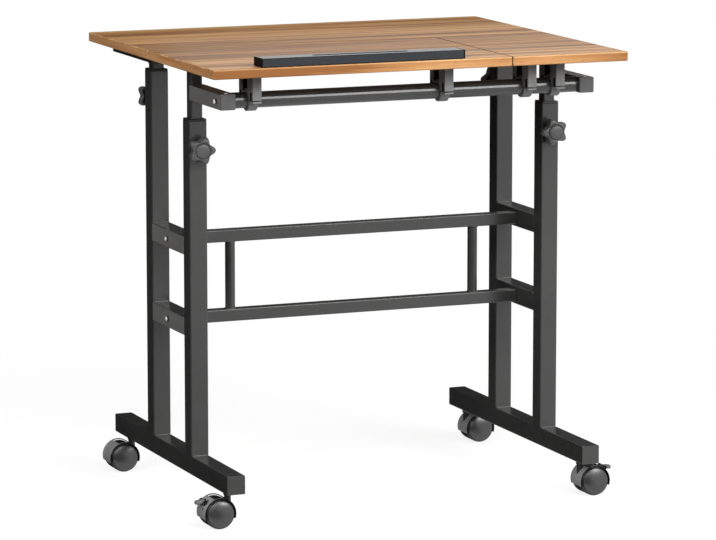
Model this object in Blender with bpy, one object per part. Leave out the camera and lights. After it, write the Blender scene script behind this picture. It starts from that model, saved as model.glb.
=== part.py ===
"""Mobile standing desk: a steel frame on casters that telescopes, with a top whose front left board tilts.

Metres, +Z up, front of the desk towards -Y, origin on the floor under the middle of the top.
"""
import math

import bmesh
import bpy
from mathutils import Matrix, Vector

# Clearances
SEAT = 0.0003            # between pieces that rest on or are welded to each other
SLIDE = 0.0003           # each side of an inner tube in its sleeve
TURN = 0.0003            # round a pin, stem or bar that turns
WHEEL_GAP = 0.0006       # between a wheel and its housing

# Top
READING_WIDTH = 0.500    # board at the front left, which tilts
READING_DEPTH = 0.304
SIDE_WIDTH = 0.200       # desk board to the right of the reading board
PANEL_GAP = 0.0016
TOP_DEPTH = 0.600
TOP_THICKNESS = 0.015
PANEL_CORNER = 0.0015
EDGE_ROUND = 0.0010
LEDGE_LENGTH = 0.340
LEDGE_DEPTH = 0.034
LEDGE_HEIGHT = 0.014
LEDGE_SETBACK = 0.003
LEDGE_ROUND = 0.0010
SLOT_LENGTH = 0.160
SLOT_WIDTH = 0.010
SLOT_DEPTH = 0.009
SLOT_SETBACK = 0.017     # from the ledge's back face to the middle of the slot

# Base frame
SIDE_OVERHANG = 0.045    # from a panel's outer edge in to the middle of the posts
POST_SPACING = 0.180     # middle of a front post to middle of a rear post
POST_SIZE = 0.030
POST_WALL = 0.0015
TUBE_CORNER = 0.0025
REAR_POST_LENGTH = 0.597
FRONT_POST_DROP = 0.060  # how much shorter the front posts are
FOOT_LENGTH = 0.540
FOOT_SIZE = 0.030
FOOT_WALL = 0.0020
FOOT_END_ROUND = 0.0010
RUNG_SIZE = 0.030
RUNG_WALL = 0.0015
LOWER_RUNG_RISE = 0.206  # foot's top to the middle of the rung
UPPER_RUNG_RISE = 0.336
CROSSBAR_SIZE = 0.020
CROSSBAR_WALL = 0.0012
CROSSBAR_CORNER = 0.0015
ROD_RADIUS = 0.008
ROD_WALL = 0.0012
ROD_INSET = 0.0765       # from a crossbar's end to the rod
BOLT_HOLE_RADIUS = 0.0045

# Sliding frames
SLEEVE_RIM = 0.003
SLEEVE_DEPTH = 0.035
INNER_SIZE = 0.020
INNER_WALL = 0.0012
INNER_CORNER = 0.0030
INNER_LENGTH = 0.560
REAR_REVEAL = 0.0080     # rear inner tube showing between its sleeve and its rail
RAIL_WIDTH = 0.020
RAIL_HEIGHT = 0.016
RAIL_WALL = 0.0015
RAIL_CORNER = 0.0015
RAIL_SETBACK = 0.022     # from the top's rear edge to the end of the rail
ARM_SIZE = 0.025
ARM_WALL = 0.0015
ARM_CORNER = 0.0020
ARM_NOSE = 0.020         # from the pivot bar's axis to the front of the arm
CAP_THICKNESS = 0.0025
CAP_DEPTH = 0.010
PIVOT_SETBACK = 0.077    # from the top's front edge to the pivot axis
PIVOT_DROP = 0.0425      # from the top's underside to the pivot axis
BAR_RADIUS = 0.0125
BAR_WALL = 0.0015

# Clamps
CLAMP_WIDTH = 0.015
CLAMP_NOSE = 0.031       # pivot axis to the front of the clamp
CLAMP_TAIL = 0.030       # pivot axis to the back of the clamp
CLAMP_GAP = 0.0016       # rise of the open joint between the two halves at the front
SADDLE_WALL = 0.0044
FLANGE_THICKNESS = 0.003
POCKET_WIDTH = 0.020
POCKET_DEPTH = 0.011
POCKET_FLOOR = 0.0035    # clamp left between the pocket and the bar
POCKET_SETBACK = 0.024   # from the front of the clamp to the pocket
CHANNEL_WIDTH = 0.0085   # upright channels for the screws that hold the two halves together
CHANNEL_DEPTH = 0.006
CHANNEL_RISE = 0.0150    # pivot axis up to the top of the channels
CHANNEL_INSET = 0.008    # from the front or back of the clamp to the middle of a channel
READING_CLAMP_LEFT = 0.0885  # reading board's left edge to the middle of its left clamp
READING_CLAMP_RIGHT = 0.089  # reading board's right edge to the middle of its right clamp
DESK_CLAMP_RIGHT = 0.0965    # desk board's right edge to the middle of its right clamp
DESK_CLAMP_SPACING = 0.049

# Knobs
KNOB_DROP = 0.048        # top of the sleeve's rim to the knob's axis
KNOB_RADIUS = 0.0225
KNOB_LOBES = 5
KNOB_VALLEY = 0.0065     # depth of the valleys between lobes
KNOB_REACH = 0.0275      # post's face to the front of the hub
KNOB_THICKNESS = 0.0145
HUB_RADIUS = 0.0125
HUB_RISE = 0.0035
NECK_RADIUS = 0.0085
STUD_RADIUS = 0.0040
KNOB_TURNS = {            # where a lobe points as each knob stands, from level
    "front_left": math.radians(0),
    "front_right": math.radians(36),
    "rear_left": math.radians(36),
    "rear_right": math.radians(0),
}

# Casters
CASTER_HEIGHT = 0.058
WHEEL_RADIUS = 0.024
WHEEL_RIM = 0.0185       # caster's middle to the outer edge of the tread
WHEEL_BULGE = 0.0250     # caster's middle to the top of the dome
TREAD_ROUND = 0.0020
CASTER_TRAIL = 0.0185
STEM_INSET = 0.040       # from the end of the foot to the stem
STEM_RADIUS = 0.0055
PIN_RADIUS = 0.0045
PIN_LENGTH = 0.020
HOOD_WALL = 0.0016
HOOD_HALF_WIDTH = 0.020
HOOD_DIP = math.radians(17)   # how far each end of the hood passes the level of the axle
WINDOW_NEAR = 0.0065     # stem's middle to the near end of the opening in the hood
WINDOW_FAR = 0.0270
WINDOW_HALF_WIDTH = 0.0160
WEB_HALF_WIDTH = 0.003
AXLE_RADIUS = 0.003
AXLE_HALF_LENGTH = 0.015

# Brake levers
LEVER_LENGTH = 0.0150
LEVER_HALF_WIDTH = 0.0060
LEVER_THICKNESS = 0.0025
LEVER_HUB_HALF_WIDTH = 0.0085
LEVER_HUB_RADIUS = 0.0024
LEVER_PIN_RADIUS = 0.0012
LEVER_ANGLE = math.radians(42)   # up from level, round the axle
LEVER_SLOPE = math.radians(-10)
EAR_RADIUS = 0.0040
EAR_THICKNESS = 0.0025
LEVER_SLOT_HALF_HEIGHT = 0.0055

# Points on curved outlines
CORNER_STEPS = 3
ROUND_STEPS = 24
SMALL_STEPS = 12
ARC_STEPS = 20
LOBE_STEPS = 6

# Heights that follow from the sizes above
FRONT_POST_LENGTH = REAR_POST_LENGTH - FRONT_POST_DROP
FOOT_BOTTOM = CASTER_HEIGHT
FOOT_TOP = FOOT_BOTTOM + FOOT_SIZE
POST_BOTTOM = FOOT_TOP + SEAT
FRONT_RIM_TOP = POST_BOTTOM + FRONT_POST_LENGTH + SEAT + SLEEVE_RIM
REAR_RIM_TOP = POST_BOTTOM + REAR_POST_LENGTH + SEAT + SLEEVE_RIM
REAR_TUBE_TOP = REAR_RIM_TOP + REAR_REVEAL
RAIL_TOP = REAR_TUBE_TOP + SEAT + RAIL_HEIGHT
UNDERSIDE = RAIL_TOP + SEAT
TOP_FACE = UNDERSIDE + TOP_THICKNESS
FRONT_TUBE_TOP = UNDERSIDE - SEAT
PIVOT_Z = UNDERSIDE - PIVOT_DROP

# Places across and along the desk
TOP_LEFT = -(READING_WIDTH + SIDE_WIDTH) / 2
TOP_RIGHT = -TOP_LEFT
SPLIT_X = TOP_LEFT + READING_WIDTH
TOP_FRONT = -TOP_DEPTH / 2
TOP_BACK = TOP_DEPTH / 2
SEAM_Y = TOP_FRONT + READING_DEPTH
POST_X = TOP_RIGHT - SIDE_OVERHANG
POST_Y = POST_SPACING / 2
PIVOT_Y = TOP_FRONT + PIVOT_SETBACK
STEM_Y = FOOT_LENGTH / 2 - STEM_INSET
RUNG_FACE_X = POST_X - RUNG_SIZE / 2
ARM_FACE_X = POST_X - ARM_SIZE / 2

SIDES = {"left": -1, "right": 1}
ENDS = {"front": -1, "rear": 1}

# Turns that lay a shape built along +Z along another axis
ALONG_X = Matrix.Rotation(math.pi / 2, 4, "Y")
ALONG_Y = Matrix.Rotation(-math.pi / 2, 4, "X")
# Turns that stand an outline drawn in X and Y up in another plane, with its thickness centred
IN_XZ = Matrix.Rotation(math.pi / 2, 4, "X")
IN_YZ = Matrix(((0, 0, 1, 0), (1, 0, 0, 0), (0, 1, 0, 0), (0, 0, 0, 1)))


def rounded_rectangle(width, depth, radius):
    """Points round a rectangle with arcs at its corners, counter-clockwise."""
    points = []
    for corner, (sign_x, sign_y) in enumerate(((1, 1), (-1, 1), (-1, -1), (1, -1))):
        centre = Vector((sign_x * (width / 2 - radius), sign_y * (depth / 2 - radius)))
        for step in range(CORNER_STEPS + 1):
            angle = math.pi / 2 * (corner + step / CORNER_STEPS)
            points.append(centre + radius * Vector((math.cos(angle), math.sin(angle))))
    return points


def square(size, radius):
    return rounded_rectangle(size, size, radius)


def circle(radius, steps=ROUND_STEPS):
    """Points of a polygon whose flats touch the circle, with a flat facing -Y."""
    reach = radius / math.cos(math.pi / steps)
    angles = (2 * math.pi * (step + 0.5) / steps - math.pi / 2 for step in range(steps))
    return [reach * Vector((math.cos(angle), math.sin(angle))) for angle in angles]


def arc(centre, radius, start, end, steps):
    """Points along an arc from one angle to another, both ends included."""
    angles = (start + (end - start) * step / steps for step in range(steps + 1))
    return [Vector(centre) + radius * Vector((math.cos(angle), math.sin(angle))) for angle in angles]


def star(radius, valley):
    """Points round a knob whose lobes reach the radius and whose valleys lie that much lower."""
    count = KNOB_LOBES * LOBE_STEPS
    points = []
    for step in range(count):
        angle = 2 * math.pi * step / count
        reach = radius - valley * (1 - math.cos(2 * math.pi * step / LOBE_STEPS)) / 2
        points.append(reach * Vector((math.cos(angle), math.sin(angle))))
    return points


def stack(rings, hollow=False):
    """Closed mesh through rings of equal length, each given with its height.

    A hollow stack goes up outside and down inside, and joins its last ring to its first.
    """
    shape = bmesh.new()
    loops = [[shape.verts.new((*point, height)) for point in ring] for ring, height in rings]
    pairs = list(zip(loops, loops[1:]))
    if hollow:
        pairs.append((loops[-1], loops[0]))
    else:
        shape.faces.new(loops[0])
        shape.faces.new(loops[-1])
    for low, high in pairs:
        for here in range(len(low)):
            after = (here + 1) % len(low)
            shape.faces.new((low[here], low[after], high[after], high[here]))
    bmesh.ops.recalc_face_normals(shape, faces=shape.faces)
    mesh = bpy.data.meshes.new("shape")
    shape.to_mesh(mesh)
    shape.free()
    return mesh


def prism(outline, thickness):
    """Solid with the outline as its ends, centred on its thickness."""
    return stack([(outline, -thickness / 2), (outline, thickness / 2)])


def box(low, high):
    """Solid box between two corners."""
    half = (Vector(high) - Vector(low)) / 2
    middle = (Vector(high) + Vector(low)) / 2
    corners = [Vector((x * half.x, y * half.y)) for x, y in ((-1, -1), (1, -1), (1, 1), (-1, 1))]
    return moved(prism(corners, 2 * half.z), Matrix.Translation(middle))


def moved(mesh, matrix):
    mesh.transform(matrix)
    return mesh


def cylinder(radius, start, end, axis=Matrix(), steps=SMALL_STEPS):
    """Solid cylinder along +Z between two heights, then turned to its axis."""
    ring = circle(radius, steps)
    return moved(stack([(ring, min(start, end)), (ring, max(start, end))]), axis)


def tube(outer, inner, length):
    """Open tube along +Z from the origin."""
    return stack([(outer, 0), (outer, length), (inner, length), (inner, 0)], hollow=True)


def square_tube(width, depth, wall, corner, length):
    inside = max(corner - wall, corner / 4)
    return tube(
        rounded_rectangle(width, depth, corner),
        rounded_rectangle(width - 2 * wall, depth - 2 * wall, inside),
        length,
    )


def shaped(base, tools, operation):
    """Mesh of the base joined with, or cut by, each tool in turn."""
    body = bpy.data.objects.new("base", base)
    helpers = [bpy.data.objects.new("tool", tool) for tool in tools]
    for item in (body, *helpers):
        bpy.context.collection.objects.link(item)
    for helper in helpers:
        modifier = body.modifiers.new("shape", "BOOLEAN")
        modifier.operation = operation
        modifier.object = helper
    result = bpy.data.meshes.new_from_object(body.evaluated_get(bpy.context.evaluated_depsgraph_get()))
    for item in (body, *helpers):
        bpy.data.objects.remove(item)
    return result


def cut(base, *tools):
    return shaped(base, tools, "DIFFERENCE")


def joined(base, *tools):
    return shaped(base, tools, "UNION")


def material(name, colour, roughness, metallic=0.0):
    made = bpy.data.materials.new(name)
    made.use_nodes = True
    shader = made.node_tree.nodes["Principled BSDF"]
    shader.inputs["Base Color"].default_value = (*colour, 1.0)
    shader.inputs["Roughness"].default_value = roughness
    shader.inputs["Metallic"].default_value = metallic
    return made


def add(name, mesh, finish, location=(0, 0, 0), turn=0.0, parent=None):
    """Named object with its origin at a world location, turned about +Z."""
    mesh = mesh.copy()
    mesh.name = name
    mesh.materials.clear()
    mesh.materials.append(finish)
    mesh.shade_smooth()
    mesh.set_sharp_from_angle(angle=math.radians(35))
    made = bpy.data.objects.new(name, mesh)
    made.location = Vector(location) - (parent.location if parent else Vector())
    made.rotation_euler.z = turn
    made.parent = parent
    bpy.context.collection.objects.link(made)
    return made


def pivot(name, location):
    """Empty on a joint's axis that carries the pieces which move together."""
    made = bpy.data.objects.new(name, None)
    made.location = location
    bpy.context.collection.objects.link(made)
    return made


def facing(sign):
    """Turn about +Z that points a shape's -X or -Y side the way of the sign."""
    return math.pi if sign > 0 else 0.0


def add_feet(steel):
    """Closed square tubes with a hole under each end for the caster's pin."""
    half = FOOT_LENGTH / 2
    full = half - FOOT_END_ROUND
    outer = square(FOOT_SIZE, TUBE_CORNER)
    eased = square(FOOT_SIZE - 2 * FOOT_END_ROUND, TUBE_CORNER - FOOT_END_ROUND)
    inner = square(FOOT_SIZE - 2 * FOOT_WALL, TUBE_CORNER / 2)
    shell = moved(stack([(eased, -half), (outer, -full), (outer, full), (eased, half)]), ALONG_Y)
    hollow = moved(stack([(inner, FOOT_WALL - half), (inner, half - FOOT_WALL)]), ALONG_Y)
    holes = []
    for end in ENDS.values():
        hole = cylinder(PIN_RADIUS + TURN, -FOOT_SIZE, 0)
        holes.append(moved(hole, Matrix.Translation((0, end * STEM_Y, 0))))
    mesh = cut(shell, hollow, *holes)
    for side, x in SIDES.items():
        add(f"foot_{side}", mesh, steel, (x * POST_X, 0, FOOT_BOTTOM + FOOT_SIZE / 2))


def add_posts(steel):
    """Square tubes with a hole for the knob's stud in the face turned from the other post."""
    lengths = {"front": FRONT_POST_LENGTH, "rear": REAR_POST_LENGTH}
    for end, y in ENDS.items():
        length = lengths[end]
        mesh = square_tube(POST_SIZE, POST_SIZE, POST_WALL, TUBE_CORNER, length)
        hole = cylinder(STUD_RADIUS + TURN, -POST_SIZE, 0, ALONG_Y)
        stud_height = length + SEAT + SLEEVE_RIM - KNOB_DROP
        mesh = cut(mesh, moved(hole, Matrix.Translation((0, 0, stud_height))))
        for side, x in SIDES.items():
            add(f"post_{end}_{side}", mesh, steel, (x * POST_X, y * POST_Y, POST_BOTTOM), facing(y))


def add_sleeves(plastic):
    """Guides with a rim, pushed into the tops of the posts."""
    body = square(POST_SIZE - 2 * POST_WALL - 2 * SEAT, TUBE_CORNER / 2)
    rim = square(POST_SIZE, TUBE_CORNER)
    bore = square(INNER_SIZE + 2 * SLIDE, INNER_CORNER)
    outside = [(body, -SLEEVE_DEPTH), (body, 0), (rim, 0), (rim, SLEEVE_RIM)]
    inside = [(bore, SLEEVE_RIM), (bore, -SLEEVE_DEPTH)]
    mesh = stack(outside + inside, hollow=True)
    rim_tops = {"front": FRONT_RIM_TOP, "rear": REAR_RIM_TOP}
    for end, y in ENDS.items():
        for side, x in SIDES.items():
            place = (x * POST_X, y * POST_Y, rim_tops[end] - SLEEVE_RIM)
            add(f"sleeve_{end}_{side}", mesh, plastic, place)


def add_rungs(steel):
    """Square tubes between the posts of a side, with a bolt hole in the outer face."""
    length = POST_SPACING - POST_SIZE - 2 * SEAT
    mesh = moved(square_tube(RUNG_SIZE, RUNG_SIZE, RUNG_WALL, TUBE_CORNER, length), ALONG_Y)
    mesh = moved(mesh, Matrix.Translation((0, -length / 2, 0)))
    mesh = cut(mesh, cylinder(BOLT_HOLE_RADIUS, -RUNG_SIZE, 0, ALONG_X))
    for level, rise in (("lower", LOWER_RUNG_RISE), ("upper", UPPER_RUNG_RISE)):
        for side, x in SIDES.items():
            add(f"rung_{level}_{side}", mesh, steel, (x * POST_X, 0, FOOT_TOP + rise), facing(x))


def add_crossbars(steel):
    """Square tubes between the rungs, with two round rods standing between them."""
    half = RUNG_FACE_X - SEAT
    bar = square_tube(CROSSBAR_SIZE, CROSSBAR_SIZE, CROSSBAR_WALL, CROSSBAR_CORNER, 2 * half)
    bar = moved(moved(bar, ALONG_X), Matrix.Translation((-half, 0, 0)))
    for level, rise in (("lower", LOWER_RUNG_RISE), ("upper", UPPER_RUNG_RISE)):
        add(f"crossbar_{level}", bar, steel, (0, 0, FOOT_TOP + rise))
    low = FOOT_TOP + LOWER_RUNG_RISE + CROSSBAR_SIZE / 2 + SEAT
    high = FOOT_TOP + UPPER_RUNG_RISE - CROSSBAR_SIZE / 2 - SEAT
    rod = tube(circle(ROD_RADIUS), circle(ROD_RADIUS - ROD_WALL), high - low)
    for side, x in SIDES.items():
        add(f"rod_{side}", rod, steel, (x * (RUNG_FACE_X - ROD_INSET), 0, low))


def add_front_lift(steel, plastic):
    """Front inner tubes, the arms that reach forward from them, and the bar between the arms."""
    carrier = pivot("front_lift", (0, -POST_Y, FRONT_RIM_TOP))
    outer = square(INNER_SIZE, INNER_CORNER)
    inner = square(INNER_SIZE - 2 * INNER_WALL, INNER_CORNER / 2)
    inner_tube = stack(
        [(inner, -INNER_WALL), (inner, -INNER_LENGTH), (outer, -INNER_LENGTH), (outer, 0)]
    )
    arm_back = -POST_Y - INNER_SIZE / 2 - SEAT
    cap_front = PIVOT_Y - ARM_NOSE
    arm_front = cap_front + CAP_THICKNESS + SEAT
    arm = moved(square_tube(ARM_SIZE, ARM_SIZE, ARM_WALL, ARM_CORNER, arm_back - arm_front), ALONG_Y)
    arm = moved(arm, Matrix.Translation((0, arm_front - PIVOT_Y, 0)))
    arm = cut(arm, cylinder(BOLT_HOLE_RADIUS, -ARM_SIZE, 0, ALONG_X))
    mirrored_arm = mirrored(arm)
    flange = square(ARM_SIZE, ARM_CORNER)
    plug = square(ARM_SIZE - 2 * ARM_WALL - 2 * SEAT, ARM_CORNER / 2)
    cap_end = CAP_THICKNESS + CAP_DEPTH
    cap = stack([(flange, 0), (flange, CAP_THICKNESS), (plug, CAP_THICKNESS), (plug, cap_end)])
    cap = moved(cap, ALONG_Y)
    for side, x in SIDES.items():
        tube_place = (x * POST_X, -POST_Y, FRONT_TUBE_TOP)
        arm_place = (x * POST_X, PIVOT_Y, PIVOT_Z)
        add(f"inner_tube_front_{side}", inner_tube, steel, tube_place, parent=carrier)
        add(f"arm_{side}", arm if x < 0 else mirrored_arm, steel, arm_place, parent=carrier)
        add(f"arm_cap_{side}", cap, plastic, (x * POST_X, cap_front, PIVOT_Z), parent=carrier)
    half = ARM_FACE_X - SEAT
    bar = tube(circle(BAR_RADIUS), circle(BAR_RADIUS - BAR_WALL), 2 * half)
    bar = moved(moved(bar, ALONG_X), Matrix.Translation((-half, 0, 0)))
    add("pivot_bar", bar, steel, (0, PIVOT_Y, PIVOT_Z), parent=carrier)
    return carrier


def mirrored(mesh):
    """Copy of a mesh mirrored left to right."""
    other = mesh.copy()
    other.transform(Matrix.Diagonal((-1, 1, 1, 1)))
    other.flip_normals()
    return other


def add_rear_lifts(steel):
    """Rear inner tubes, each with a rail that runs back under the top."""
    outer = square(INNER_SIZE, INNER_CORNER)
    inner = square(INNER_SIZE - 2 * INNER_WALL, INNER_CORNER / 2)
    inner_tube = moved(tube(outer, inner, INNER_LENGTH), Matrix.Translation((0, 0, -INNER_LENGTH)))
    front = -INNER_SIZE / 2
    length = TOP_BACK - RAIL_SETBACK - POST_Y - front
    rail = moved(square_tube(RAIL_WIDTH, RAIL_HEIGHT, RAIL_WALL, RAIL_CORNER, length), ALONG_Y)
    rail = moved(rail, Matrix.Translation((0, front, 0)))
    for side, x in SIDES.items():
        carrier = pivot(f"rear_lift_{side}", (x * POST_X, POST_Y, REAR_RIM_TOP))
        tube_place = (x * POST_X, POST_Y, REAR_TUBE_TOP)
        rail_place = (x * POST_X, POST_Y, RAIL_TOP - RAIL_HEIGHT / 2)
        add(f"inner_tube_rear_{side}", inner_tube, steel, tube_place, parent=carrier)
        add(f"rail_{side}", rail, steel, rail_place, parent=carrier)


def board(outline):
    """Board with its upper and lower edges eased, from an outline that can be drawn in by an inset."""
    full = outline(0)
    eased = outline(EDGE_ROUND)
    return stack(
        [(eased, 0), (full, EDGE_ROUND), (full, TOP_THICKNESS - EDGE_ROUND), (eased, TOP_THICKNESS)]
    )


def reading_outline(inset):
    """Points round the reading board, from its own middle."""
    width = READING_WIDTH - PANEL_GAP / 2 - 2 * inset
    depth = READING_DEPTH - PANEL_GAP / 2 - 2 * inset
    return rounded_rectangle(width, depth, PANEL_CORNER)


def desk_outline(inset):
    """Points round the L-shaped desk board, which leaves its front left corner to the reading board."""
    left = TOP_LEFT + inset
    right = TOP_RIGHT - inset
    front = TOP_FRONT + inset
    back = TOP_BACK - inset
    notch_x = SPLIT_X + PANEL_GAP / 2 + inset
    notch_y = SEAM_Y + PANEL_GAP / 2 + inset

    def rounded_corner(x, y, sign_x, sign_y, quarter):
        centre = (x - sign_x * PANEL_CORNER, y - sign_y * PANEL_CORNER)
        start = quarter * math.pi / 2
        return arc(centre, PANEL_CORNER, start, start + math.pi / 2, CORNER_STEPS)

    return [
        *rounded_corner(right, back, 1, 1, 0),
        *rounded_corner(left, back, -1, 1, 1),
        *rounded_corner(left, notch_y, -1, -1, 2),
        Vector((notch_x, notch_y)),
        *rounded_corner(notch_x, front, -1, -1, 2),
        *rounded_corner(right, front, 1, -1, 3),
    ]


def ledge():
    """Low bar with a round-ended slot along its top."""
    full = rounded_rectangle(LEDGE_LENGTH, LEDGE_DEPTH, LEDGE_ROUND)
    eased = rounded_rectangle(LEDGE_LENGTH - 2 * LEDGE_ROUND, LEDGE_DEPTH - 2 * LEDGE_ROUND, LEDGE_ROUND)
    bar = stack([(full, 0), (full, LEDGE_HEIGHT - LEDGE_ROUND), (eased, LEDGE_HEIGHT)])
    slot = rounded_rectangle(SLOT_LENGTH, SLOT_WIDTH, SLOT_WIDTH / 2 - EDGE_ROUND)
    middle = LEDGE_DEPTH / 2 - SLOT_SETBACK
    cutter = stack([(slot, LEDGE_HEIGHT - SLOT_DEPTH), (slot, 2 * LEDGE_HEIGHT)])
    return cut(bar, moved(cutter, Matrix.Translation((0, middle, 0))))


def clamp_block():
    """Upper half of a clamp, drawn from the pivot axis, with a pocket and screw channels in its left face."""
    bore = BAR_RADIUS + TURN
    top = PIVOT_DROP - SEAT
    low = SEAT / 2
    outline = arc((0, 0), bore, math.pi - math.asin(CLAMP_GAP / bore), math.asin(low / bore), ARC_STEPS)
    outline += [Vector((CLAMP_TAIL, low)), Vector((CLAMP_TAIL, top))]
    outline += [Vector((-CLAMP_NOSE, top)), Vector((-CLAMP_NOSE, CLAMP_GAP))]
    block = moved(prism(outline, CLAMP_WIDTH), IN_YZ)
    outside = -CLAMP_WIDTH
    pocket_front = POCKET_SETBACK - CLAMP_NOSE
    pocket = box(
        (outside, pocket_front, bore + POCKET_FLOOR),
        (POCKET_DEPTH - CLAMP_WIDTH / 2, pocket_front + POCKET_WIDTH, PIVOT_DROP + SEAT),
    )
    channels = []
    for y in (CHANNEL_INSET - CLAMP_NOSE, CLAMP_TAIL - CHANNEL_INSET):
        channels.append(box(
            (outside, y - CHANNEL_WIDTH / 2, -CHANNEL_RISE),
            (CHANNEL_DEPTH - CLAMP_WIDTH / 2, y + CHANNEL_WIDTH / 2, CHANNEL_RISE),
        ))
    return cut(block, pocket, *channels)


def clamp_saddle():
    """Lower half of a clamp: a half ring under the bar with a flange at the front and at the back."""
    bore = BAR_RADIUS + TURN
    outer = bore + SADDLE_WALL
    top = -SEAT / 2
    inner_dip = math.asin(-top / bore)
    flange_dip = math.asin(FLANGE_THICKNESS / outer)
    outline = [Vector((-CLAMP_NOSE, top)), Vector((-CLAMP_NOSE, -FLANGE_THICKNESS))]
    outline += arc((0, 0), outer, math.pi + flange_dip, 2 * math.pi - flange_dip, ARC_STEPS)
    outline += [Vector((CLAMP_TAIL, -FLANGE_THICKNESS)), Vector((CLAMP_TAIL, top))]
    outline += arc((0, 0), bore, 2 * math.pi - inner_dip, math.pi + inner_dip, ARC_STEPS)
    return moved(prism(outline, CLAMP_WIDTH), IN_YZ)


def add_tops(wood, plastic, ledge_finish, front_lift):
    """Desk board that goes with the front frame, and reading board that tilts about its bar."""
    reading_tilt = pivot("reading_tilt", (0, PIVOT_Y, PIVOT_Z))
    middle_x = TOP_LEFT + (READING_WIDTH - PANEL_GAP / 2) / 2
    middle_y = TOP_FRONT + (READING_DEPTH - PANEL_GAP / 2) / 2
    place = (middle_x, middle_y, UNDERSIDE)
    add("reading_panel", board(reading_outline), wood, place, parent=reading_tilt)
    place = (middle_x, TOP_FRONT + LEDGE_SETBACK + LEDGE_DEPTH / 2, TOP_FACE + SEAT)
    add("book_ledge", ledge(), ledge_finish, place, parent=reading_tilt)
    add("desk_panel", board(desk_outline), wood, (0, 0, UNDERSIDE), parent=front_lift)
    block = clamp_block()
    saddle = clamp_saddle()
    desk_right = TOP_RIGHT - DESK_CLAMP_RIGHT
    reading_clamps = (TOP_LEFT + READING_CLAMP_LEFT, SPLIT_X - READING_CLAMP_RIGHT)
    desk_clamps = (desk_right - DESK_CLAMP_SPACING, desk_right)
    layout = {"reading": (reading_clamps, reading_tilt), "desk": (desk_clamps, front_lift)}
    for name, (clamps, carrier) in layout.items():
        for side, x in zip(SIDES, clamps):
            add(f"clamp_block_{name}_{side}", block, plastic, (x, PIVOT_Y, PIVOT_Z), parent=carrier)
            add(f"clamp_saddle_{name}_{side}", saddle, plastic, (x, PIVOT_Y, PIVOT_Z), parent=carrier)


def knob():
    """Star knob along +Z from the post's face, with a stud that ends at the inner tube."""
    count = KNOB_LOBES * LOBE_STEPS
    stud_end = INNER_SIZE / 2 + SEAT - POST_SIZE / 2
    back = KNOB_REACH - HUB_RISE - KNOB_THICKNESS
    front = KNOB_REACH - HUB_RISE
    round_off = KNOB_THICKNESS / 6
    small = KNOB_RADIUS - 2 * round_off
    shallow = KNOB_VALLEY / 2
    rings = [
        (circle(STUD_RADIUS, count), stud_end),
        (circle(STUD_RADIUS, count), SEAT),
        (circle(NECK_RADIUS, count), SEAT),
        (circle(NECK_RADIUS, count), back),
        (star(small, shallow), back),
        (star(KNOB_RADIUS, KNOB_VALLEY), back + round_off),
        (star(KNOB_RADIUS, KNOB_VALLEY), front - 2 * round_off),
        (star(small, shallow), front),
        (circle(HUB_RADIUS, count), front),
        (circle(HUB_RADIUS * 0.85, count), front + HUB_RISE * 0.6),
        (circle(HUB_RADIUS * 0.5, count), front + HUB_RISE),
    ]
    return stack([(aligned(ring), height) for ring, height in rings])


def aligned(ring):
    """Ring reordered to start at its point nearest to +X."""
    first = max(range(len(ring)), key=lambda index: ring[index].x)
    return ring[first:] + ring[:first]


def add_knobs(plastic):
    """Knobs on the front faces of the front posts and the rear faces of the rear posts."""
    upright = Matrix.Rotation(math.pi / 2, 4, "X")
    rim_tops = {"front": FRONT_RIM_TOP, "rear": REAR_RIM_TOP}
    for end, y in ENDS.items():
        for side, x in SIDES.items():
            place = (x * POST_X, y * (POST_Y + POST_SIZE / 2), rim_tops[end] - KNOB_DROP)
            mesh = moved(knob(), upright @ Matrix.Rotation(KNOB_TURNS[f"{end}_{side}"], 4, "Z"))
            add(f"knob_{end}_{side}", mesh, plastic, place, facing(y))


def lever_pivot():
    """Brake lever's axis in X and Z from the stem and the floor, on a caster that trails to -X."""
    reach = WHEEL_RADIUS + WHEEL_GAP + HOOD_WALL + LEVER_HUB_RADIUS + TURN
    return -CASTER_TRAIL - reach * math.cos(LEVER_ANGLE), WHEEL_RADIUS + reach * math.sin(LEVER_ANGLE)


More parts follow.
